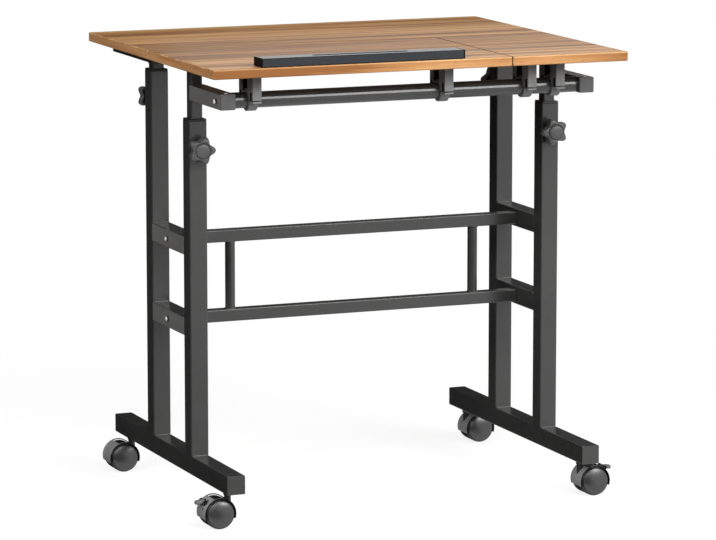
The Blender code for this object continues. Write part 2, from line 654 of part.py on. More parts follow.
def housing(braked):
    """Hood, web, stem and axle of a caster that trails to -X, drawn from the stem at floor level."""
    inner = WHEEL_RADIUS + WHEEL_GAP
    at_axle = Matrix.Translation((-CASTER_TRAIL, 0, WHEEL_RADIUS))
    half_disc = arc((0, 0), inner + HOOD_WALL, -HOOD_DIP, math.pi + HOOD_DIP, ARC_STEPS)
    body = moved(moved(prism(half_disc, 2 * HOOD_HALF_WIDTH), IN_XZ), at_axle)
    shoulder = CASTER_HEIGHT - SEAT
    window_low = WHEEL_RADIUS + inner * 0.7
    stem = stack([
        (circle(STEM_RADIUS, SMALL_STEPS), WHEEL_RADIUS),
        (circle(STEM_RADIUS, SMALL_STEPS), shoulder),
        (circle(PIN_RADIUS, SMALL_STEPS), shoulder),
        (circle(PIN_RADIUS, SMALL_STEPS), FOOT_BOTTOM + PIN_LENGTH),
    ])
    wheel_spaces = []
    openings = [box(
        (-WINDOW_FAR, -WINDOW_HALF_WIDTH, window_low),
        (-WINDOW_NEAR, WINDOW_HALF_WIDTH, shoulder),
    )]
    for sign in (-1, 1):
        space = cylinder(inner, sign * WEB_HALF_WIDTH, sign * 2 * HOOD_HALF_WIDTH, ALONG_Y, ROUND_STEPS)
        wheel_spaces.append(moved(space, at_axle))
    additions = [cut(stem, *wheel_spaces)]
    additions.append(moved(cylinder(AXLE_RADIUS, -AXLE_HALF_LENGTH, AXLE_HALF_LENGTH, ALONG_Y), at_axle))
    if braked:
        x, z = lever_pivot()
        at_lever = Matrix.Translation((x, 0, z))
        at_slot = at_axle @ Matrix.Rotation(LEVER_ANGLE, 4, "Y")
        ear_inside = LEVER_HUB_HALF_WIDTH + TURN
        ear_outside = ear_inside + EAR_THICKNESS
        pin_hole = cylinder(LEVER_PIN_RADIUS + TURN, -2 * ear_outside, 2 * ear_outside, ALONG_Y)
        pin_hole = moved(pin_hole, at_lever)
        for sign in (-1, 1):
            high = LEVER_SLOT_HALF_HEIGHT
            slot = slab(sign, LEVER_HUB_HALF_WIDTH, -2 * WHEEL_RADIUS, -WHEEL_RADIUS / 2, -high, high)
            openings.append(moved(slot, at_slot))
            ear = moved(cylinder(EAR_RADIUS, sign * ear_inside, sign * ear_outside, ALONG_Y), at_lever)
            additions.append(cut(ear, pin_hole))
    return joined(cut(body, *wheel_spaces, *openings), *additions)


def slab(sign, half_width, left, right, low, high):
    """Box beside the caster's web, on the side of the sign."""
    near, far = sorted((sign * WEB_HALF_WIDTH, sign * half_width))
    return box((left, near, low), (right, far, high))


def wheel():
    """Domed wheel along +Z from the caster's middle, with a blind bore for the axle."""
    bore = AXLE_RADIUS + TURN
    inside = WEB_HALF_WIDTH + WHEEL_GAP
    bulge = WHEEL_BULGE - WHEEL_RIM
    rings = [
        (circle(bore), AXLE_HALF_LENGTH + TURN),
        (circle(bore), inside),
        (circle(WHEEL_RADIUS - TREAD_ROUND), inside),
        (circle(WHEEL_RADIUS), inside + TREAD_ROUND),
        (circle(WHEEL_RADIUS), WHEEL_RIM - TREAD_ROUND),
    ]
    for share in (0.94, 0.8, 0.55, 0.25):
        rings.append((circle(WHEEL_RADIUS * share), WHEEL_RIM + bulge * math.sqrt(1 - share ** 2)))
    return stack(rings)


def lever():
    """Brake lever from its own axis, reaching to -X, with a pin at each end of its hub."""
    pin = circle(LEVER_PIN_RADIUS, SMALL_STEPS)
    hub = circle(LEVER_HUB_RADIUS, SMALL_STEPS)
    pin_end = LEVER_HUB_HALF_WIDTH + EAR_THICKNESS
    axis = moved(stack([
        (pin, -pin_end),
        (pin, -LEVER_HUB_HALF_WIDTH),
        (hub, -LEVER_HUB_HALF_WIDTH),
        (hub, LEVER_HUB_HALF_WIDTH),
        (pin, LEVER_HUB_HALF_WIDTH),
        (pin, pin_end),
    ]), ALONG_Y)
    tip = LEVER_HALF_WIDTH
    pad = arc((tip - LEVER_LENGTH, 0), tip, math.pi / 2, 1.5 * math.pi, SMALL_STEPS)
    pad += [Vector((0, -tip)), Vector((0, tip))]
    plate = moved(prism(pad, LEVER_THICKNESS), Matrix.Rotation(LEVER_SLOPE, 4, "Y"))
    return joined(axis, plate)


def add_casters(plastic, wheel_finish):
    """Twin-wheel casters that trail outwards, the front pair with a brake lever."""
    wheel_mesh = moved(wheel(), Matrix.Rotation(math.pi / 2, 4, "X"))
    lever_x, lever_z = lever_pivot()
    lever_mesh = lever()
    for end, y in ENDS.items():
        housing_mesh = housing(braked=end == "front")
        for side, x in SIDES.items():
            stem_x = x * POST_X
            stem_y = y * STEM_Y
            add(f"caster_housing_{end}_{side}", housing_mesh, plastic, (stem_x, stem_y, 0), facing(x))
            axle = (stem_x + x * CASTER_TRAIL, stem_y, WHEEL_RADIUS)
            for face, sign in ENDS.items():
                add(f"wheel_{end}_{side}_{face}", wheel_mesh, wheel_finish, axle, facing(sign))
            if end == "front":
                place = (stem_x - x * lever_x, stem_y, lever_z)
                add(f"brake_lever_{side}", lever_mesh, plastic, place, facing(x))


def build():
    for item in list(bpy.data.objects):
        bpy.data.objects.remove(item, do_unlink=True)
    steel = material("black_powder_coat", (0.045, 0.045, 0.047), 0.45)
    plastic = material("black_plastic", (0.035, 0.035, 0.036), 0.5)
    wheel_finish = material("caster_plastic", (0.05, 0.05, 0.05), 0.4)
    wood = material("walnut_laminate", (0.45, 0.27, 0.14), 0.5)
    ledge_finish = material("ledge_plastic", (0.055, 0.06, 0.065), 0.4)
    add_feet(steel)
    add_posts(steel)
    add_sleeves(plastic)
    add_rungs(steel)
    add_crossbars(steel)
    front_lift = add_front_lift(steel, plastic)
    add_rear_lifts(steel)
    add_tops(wood, plastic, ledge_finish, front_lift)
    add_knobs(plastic)
    add_casters(plastic, wheel_finish)


build()
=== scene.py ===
"""Looks of the mobile standing desk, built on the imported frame. Metres, +Z up, front towards -Y."""
import math

import bmesh
import bpy
from mathutils import Matrix, Vector


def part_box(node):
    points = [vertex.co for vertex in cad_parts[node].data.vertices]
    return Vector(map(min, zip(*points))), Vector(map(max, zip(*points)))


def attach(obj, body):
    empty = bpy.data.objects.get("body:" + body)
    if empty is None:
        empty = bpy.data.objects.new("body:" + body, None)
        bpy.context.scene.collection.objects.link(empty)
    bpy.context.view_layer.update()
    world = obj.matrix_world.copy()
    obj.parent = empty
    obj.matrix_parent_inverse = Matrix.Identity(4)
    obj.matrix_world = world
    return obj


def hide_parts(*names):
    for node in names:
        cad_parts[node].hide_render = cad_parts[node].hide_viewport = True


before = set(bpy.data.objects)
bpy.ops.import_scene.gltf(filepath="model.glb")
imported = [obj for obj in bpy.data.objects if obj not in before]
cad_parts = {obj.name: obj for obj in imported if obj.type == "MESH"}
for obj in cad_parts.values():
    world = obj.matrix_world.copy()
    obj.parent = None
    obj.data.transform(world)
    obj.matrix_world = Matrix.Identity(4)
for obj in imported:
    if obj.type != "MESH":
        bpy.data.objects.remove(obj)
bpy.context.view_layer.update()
scene = bpy.context.scene
scene.view_settings.view_transform = "Standard"

# Places and sizes shared with the solids
FIT = 0.0003
POST_X = 0.305
POST_Y = 0.090
POST_HALF = 0.015
FOOT_TOP = 0.088
ROD_X = 0.2135
STEM_Y = 0.230
TRAIL = 0.0185
CASTER_TOP = 0.0577
WHEEL = 0.024
HOOD_IN = 0.0246
HOOD_OUT = 0.0262
HOOD_WIDTH = 0.040
HOOD_DIP = math.radians(17)
WEB_HALF = 0.003
LEVER_ANGLE = math.radians(42)
LEVER_REACH = 0.0289
LEVER_HUB_HALF = 0.0085
PIVOT_Y = -0.223
PIVOT_Z = 0.6707
UNDERSIDE = 0.7132
BAR = 0.0125
ARM_HALF = 0.0125
ARM_NOSE = 0.020
RUNG_Z = {"lower": 0.294, "upper": 0.424}
RIM_TOP = {"front": 0.6286, "rear": 0.6886}
RIM = 0.003
SLEEVE_DEPTH = 0.035
SEAM = 0.0016
SLOT_LENGTH = 0.160
SLOT_WIDTH = 0.010
SLOT_DEPTH = 0.009
CLAMP_X = {"reading_left": -0.2615, "reading_right": 0.061, "desk_left": 0.2045, "desk_right": 0.2535}
CLAMP_WIDTH = 0.015
CLAMP_NOSE = 0.031
CLAMP_TAIL = 0.030
CLAMP_GAP = 0.0016
SADDLE_WALL = 0.0044
FLANGE = 0.003
SCREW_Y = (-0.023, 0.022)
KNOB_TURN = {"front_left": 0, "front_right": 36, "rear_left": 36, "rear_right": 0}
KNOB_DROP = 0.048
KNOB_LOBES = 5
PANEL_BODY = {"reading": "reading_top", "desk": "front_lift"}
SIDES = {"left": -1, "right": 1}
ENDS = {"front": -1, "rear": 1}

# Roundings and small forms that only the looks have
BOARD_CORNER = 0.0024
BOARD_EASE = 0.0018
BOARD_EASE_STEPS = 4
NEAR_SEAM = 0.004        # reach of the faces that count as lying along the seam
LEDGE_ROUND = 0.0014
LEDGE_CAP = 0.0022
LEDGE_CAP_ROUND = 0.0016
LEDGE_CAP_EASE = 0.0006
SLOT_CHAMFER = 0.0004
CLAMP_JOINT = 0.00015    # half of the thin joint between the clamp halves
CLAMP_JOINT_ANGLE = 0.012
TUBE_EASE = 0.0005
WELD_HALF = 0.0128       # half a bead's length across a post
WELD_OUT = 0.0002
BEAD_SIDES = 8
FOOT_BEAD = 0.0014
RUNG_BEAD = 0.0013
RING_BEAD = 0.0012
BOLT_OUT = 0.0032        # how far the bolt heads stand off the tubes
BOLT_HEAD = 0.0037

# Camera
CAMERA_PLACE = (-2.47327, -6.09656, 1.43840)
CAMERA_YAW = math.radians(22.1594)
CAMERA_PITCH = math.radians(9.3665)
CAMERA_LENS = 205.08
CAMERA_SENSOR = 36.0

# Lamps: name, place, aim, width, height, watts
LAMPS = (
    ("key", (2.4, -4.2, 2.6), (0, 0, 0.4), 2.4, 2.0, 142),
    ("fill_left", (-3.6, -2.2, 2.4), (0, 0, 0.4), 2.0, 2.0, 98),
    ("overhead", (0.05, -1.15, 1.55), (0, 0.0, 0.6), 1.4, 0.8, 16.5),
    ("strip_front", (-0.6, -5.0, 2.7), (0, 0, 0.1), 4.5, 0.5, 28),
)

# Corners of the dark cards that shape the reflections
CARDS = {
    "card_back": [(-6.0, 1.3, -2.0), (0.12, 1.3, -2.0), (0.12, 1.3, 2.4), (-6.0, 1.3, 2.4)],
    "card_back_low": [(0.12, 1.3, 0.08), (1.6, 1.3, 0.08), (1.6, 1.3, 0.90), (0.12, 1.3, 0.90)],
    "card_rim": [(-0.6, 0.40, 0.735), (1.1, 0.40, 0.735), (1.1, 0.40, 0.80), (-0.6, 0.40, 0.80)],
    "card_lip": [(-1.1, -0.40, 0.76), (1.1, -0.40, 0.76), (1.1, -0.40, 1.10), (-1.1, -0.40, 1.10)],
    "card_left": [(-6.0, 1.3, -3.0), (-9.0, -8.0, -3.0), (-9.0, -8.0, 1.0), (-6.0, 1.3, 1.0)],
    "card_front": [(-9.0, -8.0, -3.0), (3.4, -8.0, -3.0), (0.3, -8.0, 1.0), (-9.0, -8.0, 1.0)],
}


# Node helpers

def shader(name):
    """New material with its tree and its shader node."""
    made = bpy.data.materials.new(name)
    made.use_nodes = True
    return made, made.node_tree, made.node_tree.nodes["Principled BSDF"]


def feed(tree, target, inputs):
    """Links sockets to a node's inputs and sets plain values on them."""
    for key, value in inputs.items():
        if isinstance(value, bpy.types.NodeSocket):
            tree.links.new(value, target.inputs[key])
        else:
            target.inputs[key].default_value = value


def put(tree, kind, inputs=None, **settings):
    made = tree.nodes.new("ShaderNode" + kind)
    for key, value in settings.items():
        setattr(made, key, value)
    feed(tree, made, inputs or {})
    return made


def coords(tree):
    return put(tree, "TexCoord").outputs["Object"]


def stretched(tree, where, scale, turn=0.0):
    return put(tree, "Mapping", {"Vector": where, "Scale": scale, "Rotation": (0, 0, turn)}).outputs["Vector"]


def noise(tree, where, scale, detail=3.0, rough=0.5, warp=0.0):
    inputs = {"Vector": where, "Scale": scale, "Detail": detail, "Roughness": rough, "Distortion": warp}
    return put(tree, "TexNoise", inputs).outputs["Fac"]


def level(tree, value, low, high, start, end):
    """Value between low and high brought to the span from start to end."""
    inputs = {"Value": value, "From Min": low, "From Max": high, "To Min": start, "To Max": end}
    return put(tree, "MapRange", inputs).outputs["Result"]


def blend(tree, amount, first, second):
    return put(tree, "Mix", {0: amount, 6: first, 7: second}, data_type="RGBA").outputs[2]


def maths(tree, operation, first, second=0.0):
    return put(tree, "Math", {0: first, 1: second}, operation=operation).outputs[0]


def ramp(tree, value, stops):
    made = put(tree, "ValToRGB", {"Fac": value})
    elements = made.color_ramp.elements
    while len(elements) < len(stops):
        elements.new(1.0)
    for element, (place, colour) in zip(elements, stops):
        element.position = place
        element.color = (*colour, 1.0)
    return made.outputs["Color"]


def relief(tree, height, strength, depth):
    return put(tree, "Bump", {"Height": height, "Strength": strength, "Distance": depth}).outputs["Normal"]


# Materials

NOISE_SPAN = (0.3, 0.7)  # where most of a noise texture's values lie


def grey(value, warmth=0.0):
    return (value * (1 + warmth), value, value * (1 - warmth))


def powder_coat(name, shade, rough):
    """Satin black powder coat: orange peel, faint clouding and fine dust."""
    made, tree, coat = shader(name)
    where = coords(tree)
    peel = noise(tree, where, 620.0, 2.0)
    grain = noise(tree, where, 2600.0, 1.0)
    cloud = noise(tree, where, 9.0, 3.0, 0.6)
    colour = ramp(tree, cloud, [(0.3, grey(shade * 0.88, 0.02)), (0.7, grey(shade * 1.12, 0.02))])
    feed(tree, coat, {
        "Base Color": colour,
        "Roughness": level(tree, grain, *NOISE_SPAN, rough - 0.05, rough + 0.05),
        "Normal": relief(tree, peel, 0.16, 0.00012),
        "Specular IOR Level": 0.70,
    })
    return made


def plastic(name, shade, rough, texture, gloss=0.5):
    """Moulded plastic with a fine spark-eroded texture and slight gloss changes."""
    made, tree, skin = shader(name)
    where = coords(tree)
    spark = noise(tree, where, texture, 3.0, 0.6)
    cloud = noise(tree, where, 38.0, 4.0, 0.6)
    colour = ramp(tree, cloud, [(0.3, grey(shade * 0.85)), (0.7, grey(shade * 1.15))])
    feed(tree, skin, {
        "Base Color": colour,
        "Roughness": level(tree, cloud, *NOISE_SPAN, rough - 0.05, rough + 0.06),
        "Normal": relief(tree, spark, 0.22, 0.00012),
        "Specular IOR Level": gloss,
    })
    return made


def ledge_finish():
    """Dark blue-grey satin extrusion with fine lines along its length."""
    made, tree, skin = shader("ledge_satin")
    where = coords(tree)
    lines = noise(tree, stretched(tree, where, (6, 1500, 1500)), 1.0, 2.0)
    cloud = noise(tree, where, 14.0, 3.0)
    dark, pale = (0.009, 0.012, 0.015, 1), (0.013, 0.016, 0.020, 1)
    colour = blend(tree, level(tree, cloud, *NOISE_SPAN, 0, 1), dark, pale)
    feed(tree, skin, {
        "Base Color": colour,
        "Roughness": level(tree, lines, *NOISE_SPAN, 0.12, 0.18),
        "Normal": relief(tree, lines, 0.05, 0.00008),
    })
    return made


def zinc():
    """Bright zinc plate with faint blotches."""
    made, tree, metal = shader("zinc_plate")
    where = coords(tree)
    blotch = noise(tree, where, 420.0, 4.0, 0.6)
    feed(tree, metal, {
        "Base Color": ramp(tree, blotch, [(0.3, (0.80, 0.80, 0.79)), (0.7, (0.92, 0.92, 0.91))]),
        "Roughness": level(tree, blotch, *NOISE_SPAN, 0.30, 0.45),
        "Metallic": 0.15,
    })
    return made


def wood(name, turn, dark, middle, light, stave):
    """Wood-grain laminate: staves of slightly different tone, streaks, fibres and pores along the grain."""
    made, tree, skin = shader(name)
    where = stretched(tree, coords(tree), (1, 1, 1), turn)
    across = put(tree, "SeparateXYZ", {"Vector": where})
    row = maths(tree, "FLOOR", maths(tree, "MULTIPLY", across.outputs["Y"], 1.0 / stave))
    tone = put(tree, "TexWhiteNoise", {"W": row}, noise_dimensions="1D").outputs["Value"]
    offset = put(tree, "CombineXYZ", {"X": maths(tree, "MULTIPLY", tone, 3.0), "Z": row})
    here = put(tree, "VectorMath", {0: where, 1: offset.outputs[0]}, operation="ADD").outputs[0]
    bands = noise(tree, stretched(tree, here, (0.9, 34, 12)), 1.0, 3.0, 0.55, 0.9)
    streaks = noise(tree, stretched(tree, here, (2.4, 105, 45)), 1.0, 5.0, 0.65, 0.4)
    fibres = noise(tree, stretched(tree, here, (14, 1500, 500)), 1.0, 3.0, 0.6)
    pores = noise(tree, stretched(tree, here, (55, 1900, 600)), 1.0, 2.0, 0.5)
    mixed = level(tree, tone, 0, 1, -0.068, 0.068)
    for grain, share in ((bands, 0.58), (streaks, 0.32), (fibres, 0.10)):
        mixed = maths(tree, "ADD", mixed, maths(tree, "MULTIPLY", grain, share))
    colour = ramp(tree, mixed, [(0.415, dark), (0.5, middle), (0.58, light)])
    pore_mask = level(tree, pores, 0.62, 0.72, 0.0, 0.45)
    colour = blend(tree, pore_mask, colour, (*(value * 0.5 for value in dark), 1))
    height = maths(tree, "SUBTRACT", maths(tree, "MULTIPLY", fibres, 0.5), pore_mask)
    feed(tree, skin, {
        "Base Color": colour,
        "Roughness": level(tree, streaks, *NOISE_SPAN, 0.32, 0.42),
        "Normal": relief(tree, height, 0.25, 0.0001),
        "Specular IOR Level": 0.12,
    })
    return made


COAT = powder_coat("satin_powder_coat", 0.033, 0.23)
# Paler copy of the black coat: painted light on the sides of the left rungs and the left arm
PAINTED_LIGHT_COAT = powder_coat("satin_powder_coat_painted_light", 0.135, 0.40)
ROUND_COAT = powder_coat("satin_powder_coat_round", 0.030, 0.27)
BLACK = plastic("black_moulding", 0.012, 0.40, 1900.0)
# Near-black used as painted shade in the ledge slot, clamp pockets and screw channels, hood sides and
# insides, knob backs and the wheel groove; the wheel tread takes it too
SHADE_BLACK = plastic("matt_black_painted_shade", 0.008, 0.60, 1900.0, 0.12)
# Pale copy of the hood moulding: painted sheen on the hood's curved skin
HOOD_PAINTED_SHEEN = plastic("hood_moulding_painted_sheen", 0.270, 0.34, 1900.0)
PEDAL_FINISH = plastic("pedal_moulding", 0.130, 0.34, 1900.0)
CLAMP_FINISH = plastic("clamp_moulding", 0.170, 0.44, 1700.0)
CAP_FINISH = plastic("cap_moulding", 0.076, 0.40, 1700.0)
KNOB_FINISH = plastic("knob_moulding", 0.072, 0.42, 1500.0)
END_FINISH = plastic("ledge_end_moulding", 0.006, 0.50, 1900.0, 0.05)
# Near-black for the board edges along the seam: painted shade in the gap between the boards
SEAM_SHADE = plastic("seam_painted_shade", 0.010, 0.45, 900.0, 0.1)
WHEEL_FINISH = plastic("wheel_moulding", 0.024, 0.29, 2600.0, 0.85)
LEDGE = ledge_finish()
ZINC = zinc()
TOP_WOOD = wood("wood_top", 0.0, (0.175, 0.078, 0.028), (0.405, 0.205, 0.078), (0.54, 0.300, 0.132), 0.046)
EDGE_X = wood("wood_edge_long", 0.0, (0.24, 0.098, 0.031), (0.415, 0.200, 0.076), (0.54, 0.302, 0.140), 0.2)
# Lighter copy of the edge wood for the rounded rims of the boards: painted highlight
RIM_HIGHLIGHT_WOOD = wood("wood_rim_painted_highlight", 0.0, (0.41, 0.212, 0.088), (0.59, 0.345, 0.162), (0.71, 0.455, 0.240), 0.2)
# Edge banding of the short sides, grain turned across, painted lighter than the long edges as light on those
# sides
SHORT_EDGE_PAINTED_LIGHT = wood("wood_edge_short_painted_light", math.pi / 2, (0.30, 0.126, 0.042), (0.51, 0.255, 0.108),
              (0.65, 0.375, 0.185), 0.2)


# Mesh helpers

UPRIGHT = Matrix(((0, 0, 1, 0), (1, 0, 0, 0), (0, 1, 0, 0), (0, 0, 0, 1)))  # lays +Z along +X


def circle(radius, count=96):
    angles = (2 * math.pi * step / count for step in range(count))
    return [Vector((radius * math.cos(angle), radius * math.sin(angle))) for angle in angles]


def rounded(width, depth, radius, steps=6):
    """Rectangle with round corners about the origin."""
    points = []
    for corner, (sign_x, sign_y) in enumerate(((1, 1), (-1, 1), (-1, -1), (1, -1))):
        centre = Vector((sign_x * (width / 2 - radius), sign_y * (depth / 2 - radius)))
        for step in range(steps + 1):
            angle = math.pi / 2 * (corner + step / steps)
            points.append(centre + radius * Vector((math.cos(angle), math.sin(angle))))
    return points


def arc(centre, radius, start, end, steps):
    angles = (start + (end - start) * step / steps for step in range(steps + 1))
    return [Vector(centre) + radius * Vector((math.cos(angle), math.sin(angle))) for angle in angles]


def star(radius, valley, count=150):
    """Outline of a lobed knob, with a lobe on +X; valleys are hollow between the lobes."""
    points = []
    for step in range(count):
        angle = 2 * math.pi * step / count
        wave = 0.5 + 0.5 * math.cos(KNOB_LOBES * angle)
        reach = radius - valley * (1 - wave ** 1.15)
        points.append(Vector((reach * math.cos(angle), reach * math.sin(angle))))
    return points


def loft(rings, hollow=False):
    """Closed mesh through rings given with their heights along +Z."""
    shape = bmesh.new()
    loops = [[shape.verts.new((*point, height)) for point in ring] for ring, height in rings]
    pairs = list(zip(loops, loops[1:]))
    if hollow:
        pairs.append((loops[-1], loops[0]))
    else:
        shape.faces.new(loops[0])
        shape.faces.new(loops[-1])
    for low, high in pairs:
        for here in range(len(low)):
            after = (here + 1) % len(low)
            shape.faces.new((low[here], low[after], high[after], high[here]))
    return finished(shape)


def finished(shape):
    """Mesh of a shape, with its faces turned outwards."""
    bmesh.ops.recalc_face_normals(shape, faces=shape.faces)
    mesh = bpy.data.meshes.new("shape")
    shape.to_mesh(mesh)
    shape.free()
    return mesh


def prism(outline, thickness):
    return loft([(outline, -thickness / 2), (outline, thickness / 2)])


def eased_prism(outline_at, thickness, ease, steps=3):
    """Prism whose outline is drawn smaller towards both ends, so that its rims are rounded."""
    rings = []
    half = thickness / 2
    for end in (-1, 1):
        for step in range(steps + 1):
            angle = math.pi / 2 * (step / steps if end < 0 else 1 - step / steps)
            inset = ease * (1 - math.sin(angle))
            rings.append((outline_at(inset), end * (half - ease * (1 - math.cos(angle)))))
    return loft(rings)


def moved(mesh, *matrices):
    for matrix in matrices:
        mesh.transform(matrix)
    return mesh


def shift(x, y, z):
    return Matrix.Translation((x, y, z))


def spin(degrees, axis):
    return Matrix.Rotation(math.radians(degrees), 4, axis)


def box(low, high):
    half = (Vector(high) - Vector(low)) / 2
    corners = [Vector((x * half.x, y * half.y)) for x, y in ((-1, -1), (1, -1), (1, 1), (-1, 1))]
    return moved(prism(corners, 2 * half.z), Matrix.Translation((Vector(high) + Vector(low)) / 2))


def evaluated(mesh, setup):
    """Mesh after the modifiers that setup adds to a passing object."""
    body = bpy.data.objects.new("passing", mesh)
    scene.collection.objects.link(body)
    helpers = setup(body) or []
    result = bpy.data.meshes.new_from_object(body.evaluated_get(bpy.context.evaluated_depsgraph_get()))
    for item in (body, *helpers):
        bpy.data.objects.remove(item)
    return result


def carved(mesh, *tools):
    """Mesh with the tools cut out of it."""
    def setup(body):
        helpers = []
        for tool in tools:
            helper = bpy.data.objects.new("tool", tool)
            scene.collection.objects.link(helper)
            modifier = body.modifiers.new("carve", "BOOLEAN")
            modifier.operation = "DIFFERENCE"
            modifier.object = helper
            helpers.append(helper)
        return helpers
    return evaluated(mesh, setup)


def bevelled(mesh, width, angle=40):
    """Mesh with its edges sharper than the angle rounded."""
    def setup(body):
        modifier = body.modifiers.new("ease", "BEVEL")
        modifier.width = width
        modifier.segments = 2
        modifier.limit_method = "ANGLE"
        modifier.angle_limit = math.radians(angle)
    return evaluated(mesh, setup)


def level_shading(body):
    """Keeps the shading of wide flat faces level up to their rounded edges."""
    modifier = body.modifiers.new("level", "WEIGHTED_NORMAL")
    modifier.keep_sharp = True
    modifier.weight = 80


def together(*meshes):
    """One mesh of several closed ones."""
    shape = bmesh.new()
    for mesh in meshes:
        shape.from_mesh(mesh)
    mesh = bpy.data.meshes.new("shape")
    shape.to_mesh(mesh)
    shape.free()
    return mesh


def piece(name, mesh, finishes, body, nodes=(), angle=38):
    """Visible piece that rides on a body and stands for CAD nodes."""
    mesh = mesh.copy()
    slots = [face.material_index for face in mesh.polygons]
    mesh.materials.clear()
    for finish in finishes:
        mesh.materials.append(finish)
    mesh.polygons.foreach_set("material_index", slots)
    mesh.shade_smooth()
    mesh.set_sharp_from_angle(angle=math.radians(angle))
    mesh = evaluated(mesh, level_shading)
    mesh.name = name
    made = bpy.data.objects.new(name, mesh)
    scene.collection.objects.link(made)
    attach(made, body)
    for node in nodes:
        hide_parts(node)


# Top

def board_corner(x, y, quarter):
    """Rounded corner of a board; the quarters count round from the one at the right and back."""
    way_x, way_y = ((1, 1), (-1, 1), (-1, -1), (1, -1))[quarter]
    centre = (x - way_x * BOARD_CORNER, y - way_y * BOARD_CORNER)
    return arc(centre, BOARD_CORNER, quarter * math.pi / 2, (quarter + 1) * math.pi / 2, 6)


def reading_outline(inset):
    """Rectangle at the front left."""
    low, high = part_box("reading_panel")
    left, right, front, back = low.x + inset, high.x - inset, low.y + inset, high.y - inset
    return (board_corner(right, back, 0) + board_corner(left, back, 1) + board_corner(left, front, 2)
            + board_corner(right, front, 3))


def desk_outline(inset):
    """L shape that leaves the front left to the reading board."""
    low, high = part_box("desk_panel")
    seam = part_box("reading_panel")[1]
    left, right, front, back = low.x + inset, high.x - inset, low.y + inset, high.y - inset
    notch_x, notch_y = seam.x + SEAM + inset, seam.y + SEAM + inset
    return (board_corner(right, back, 0) + board_corner(left, back, 1) + board_corner(left, notch_y, 2)
            + [Vector((notch_x, notch_y))] + board_corner(notch_x, front, 2) + board_corner(right, front, 3))


def board(node, outline):
    """Board with rounded edges; the edge bands have their own finishes, a lighter wood on the rims as painted
    highlight and near-black where the boards meet as painted shade in the gap.
    """
    low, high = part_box(node)
    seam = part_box("reading_panel")[1]
    rings = []
    for way, skin in ((1, low.z), (-1, high.z)):
        for step in range(BOARD_EASE_STEPS + 1):
            part = step / BOARD_EASE_STEPS
            angle = math.pi / 2 * (part if way > 0 else 1 - part)
            height = skin + way * BOARD_EASE * (1 - math.cos(angle))
            rings.append((outline(BOARD_EASE * (1 - math.sin(angle))), height))
    mesh = loft(rings)
    top, long_edge, short_edge, seam_shade, rim = range(5)
    flat, side, facing = 0.92, 0.15, 0.3
    for face in mesh.polygons:
        normal = face.normal
        if abs(normal.z) < flat:
            face.material_index = long_edge if abs(normal.y) > abs(normal.x) else short_edge
        # The upper roundings take the lighter rim wood, a painted highlight
        if side < normal.z < flat:
            face.material_index = rim
        # Along the seam the sides are painted shade, and their upper rounding keeps the top wood without the
        # painted highlight
        away = face.center - seam
        beside = abs(away.x) < NEAR_SEAM and away.y < NEAR_SEAM and abs(normal.x) > facing > abs(normal.y)
        behind = abs(away.y) < NEAR_SEAM and away.x < NEAR_SEAM and abs(normal.y) > facing > abs(normal.x)
        if beside or behind:
            face.material_index = seam_shade if normal.z < 0.75 else top
    return mesh


def add_boards():
    finishes = [TOP_WOOD, EDGE_X, SHORT_EDGE_PAINTED_LIGHT, SEAM_SHADE, RIM_HIGHLIGHT_WOOD]
    for name, outline in (("reading", reading_outline), ("desk", desk_outline)):
        piece(f"{name}_board", board(f"{name}_panel", outline), finishes, PANEL_BODY[name], [f"{name}_panel"])


def add_ledge():
    """Slotted bar with a cap at each end; the inside of the slot is slot 1, painted near-black as shade."""
    low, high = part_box("book_ledge")
    middle = (low + high) / 2
    size = high - low
    bar = prism(rounded(size.y, size.z, LEDGE_ROUND), size.x - 2 * (LEDGE_CAP + FIT))
    bar = moved(bar, UPRIGHT, Matrix.Translation(middle))
    narrow = rounded(SLOT_LENGTH, SLOT_WIDTH, 0.0049, 10)
    wide = rounded(SLOT_LENGTH + 2 * SLOT_CHAMFER, SLOT_WIDTH + 2 * SLOT_CHAMFER, 0.0053, 10)
    slot = loft([(narrow, -SLOT_DEPTH), (narrow, -0.0006), (wide, 0.0002), (wide, 0.004)])
    bar = carved(bar, moved(slot, shift(middle.x, middle.y, high.z)))
    for face in bar.polygons:
        away = face.center - middle
        inside = abs(away.x) < SLOT_LENGTH / 2 + 0.001 and abs(away.y) < SLOT_WIDTH / 2 + 0.0006
        if inside and 0.0001 < high.z - face.center.z < SLOT_DEPTH + 0.0005:
            face.material_index = 1
    piece("tablet_ledge", bar, [LEDGE, SHADE_BLACK], "reading_top", ["book_ledge"], 30)

    def cap_section(inset):
        return rounded(size.y - 2 * inset, size.z - 2 * inset, LEDGE_CAP_ROUND)
    caps = []
    for sign in SIDES.values():
        plate = moved(eased_prism(cap_section, LEDGE_CAP, LEDGE_CAP_EASE), UPRIGHT)
        caps.append(moved(plate, shift(middle.x + sign * (size.x - LEDGE_CAP) / 2, middle.y, middle.z)))
    piece("ledge_end_caps", together(*caps), [END_FINISH], "reading_top", [])


# Clamps under the top

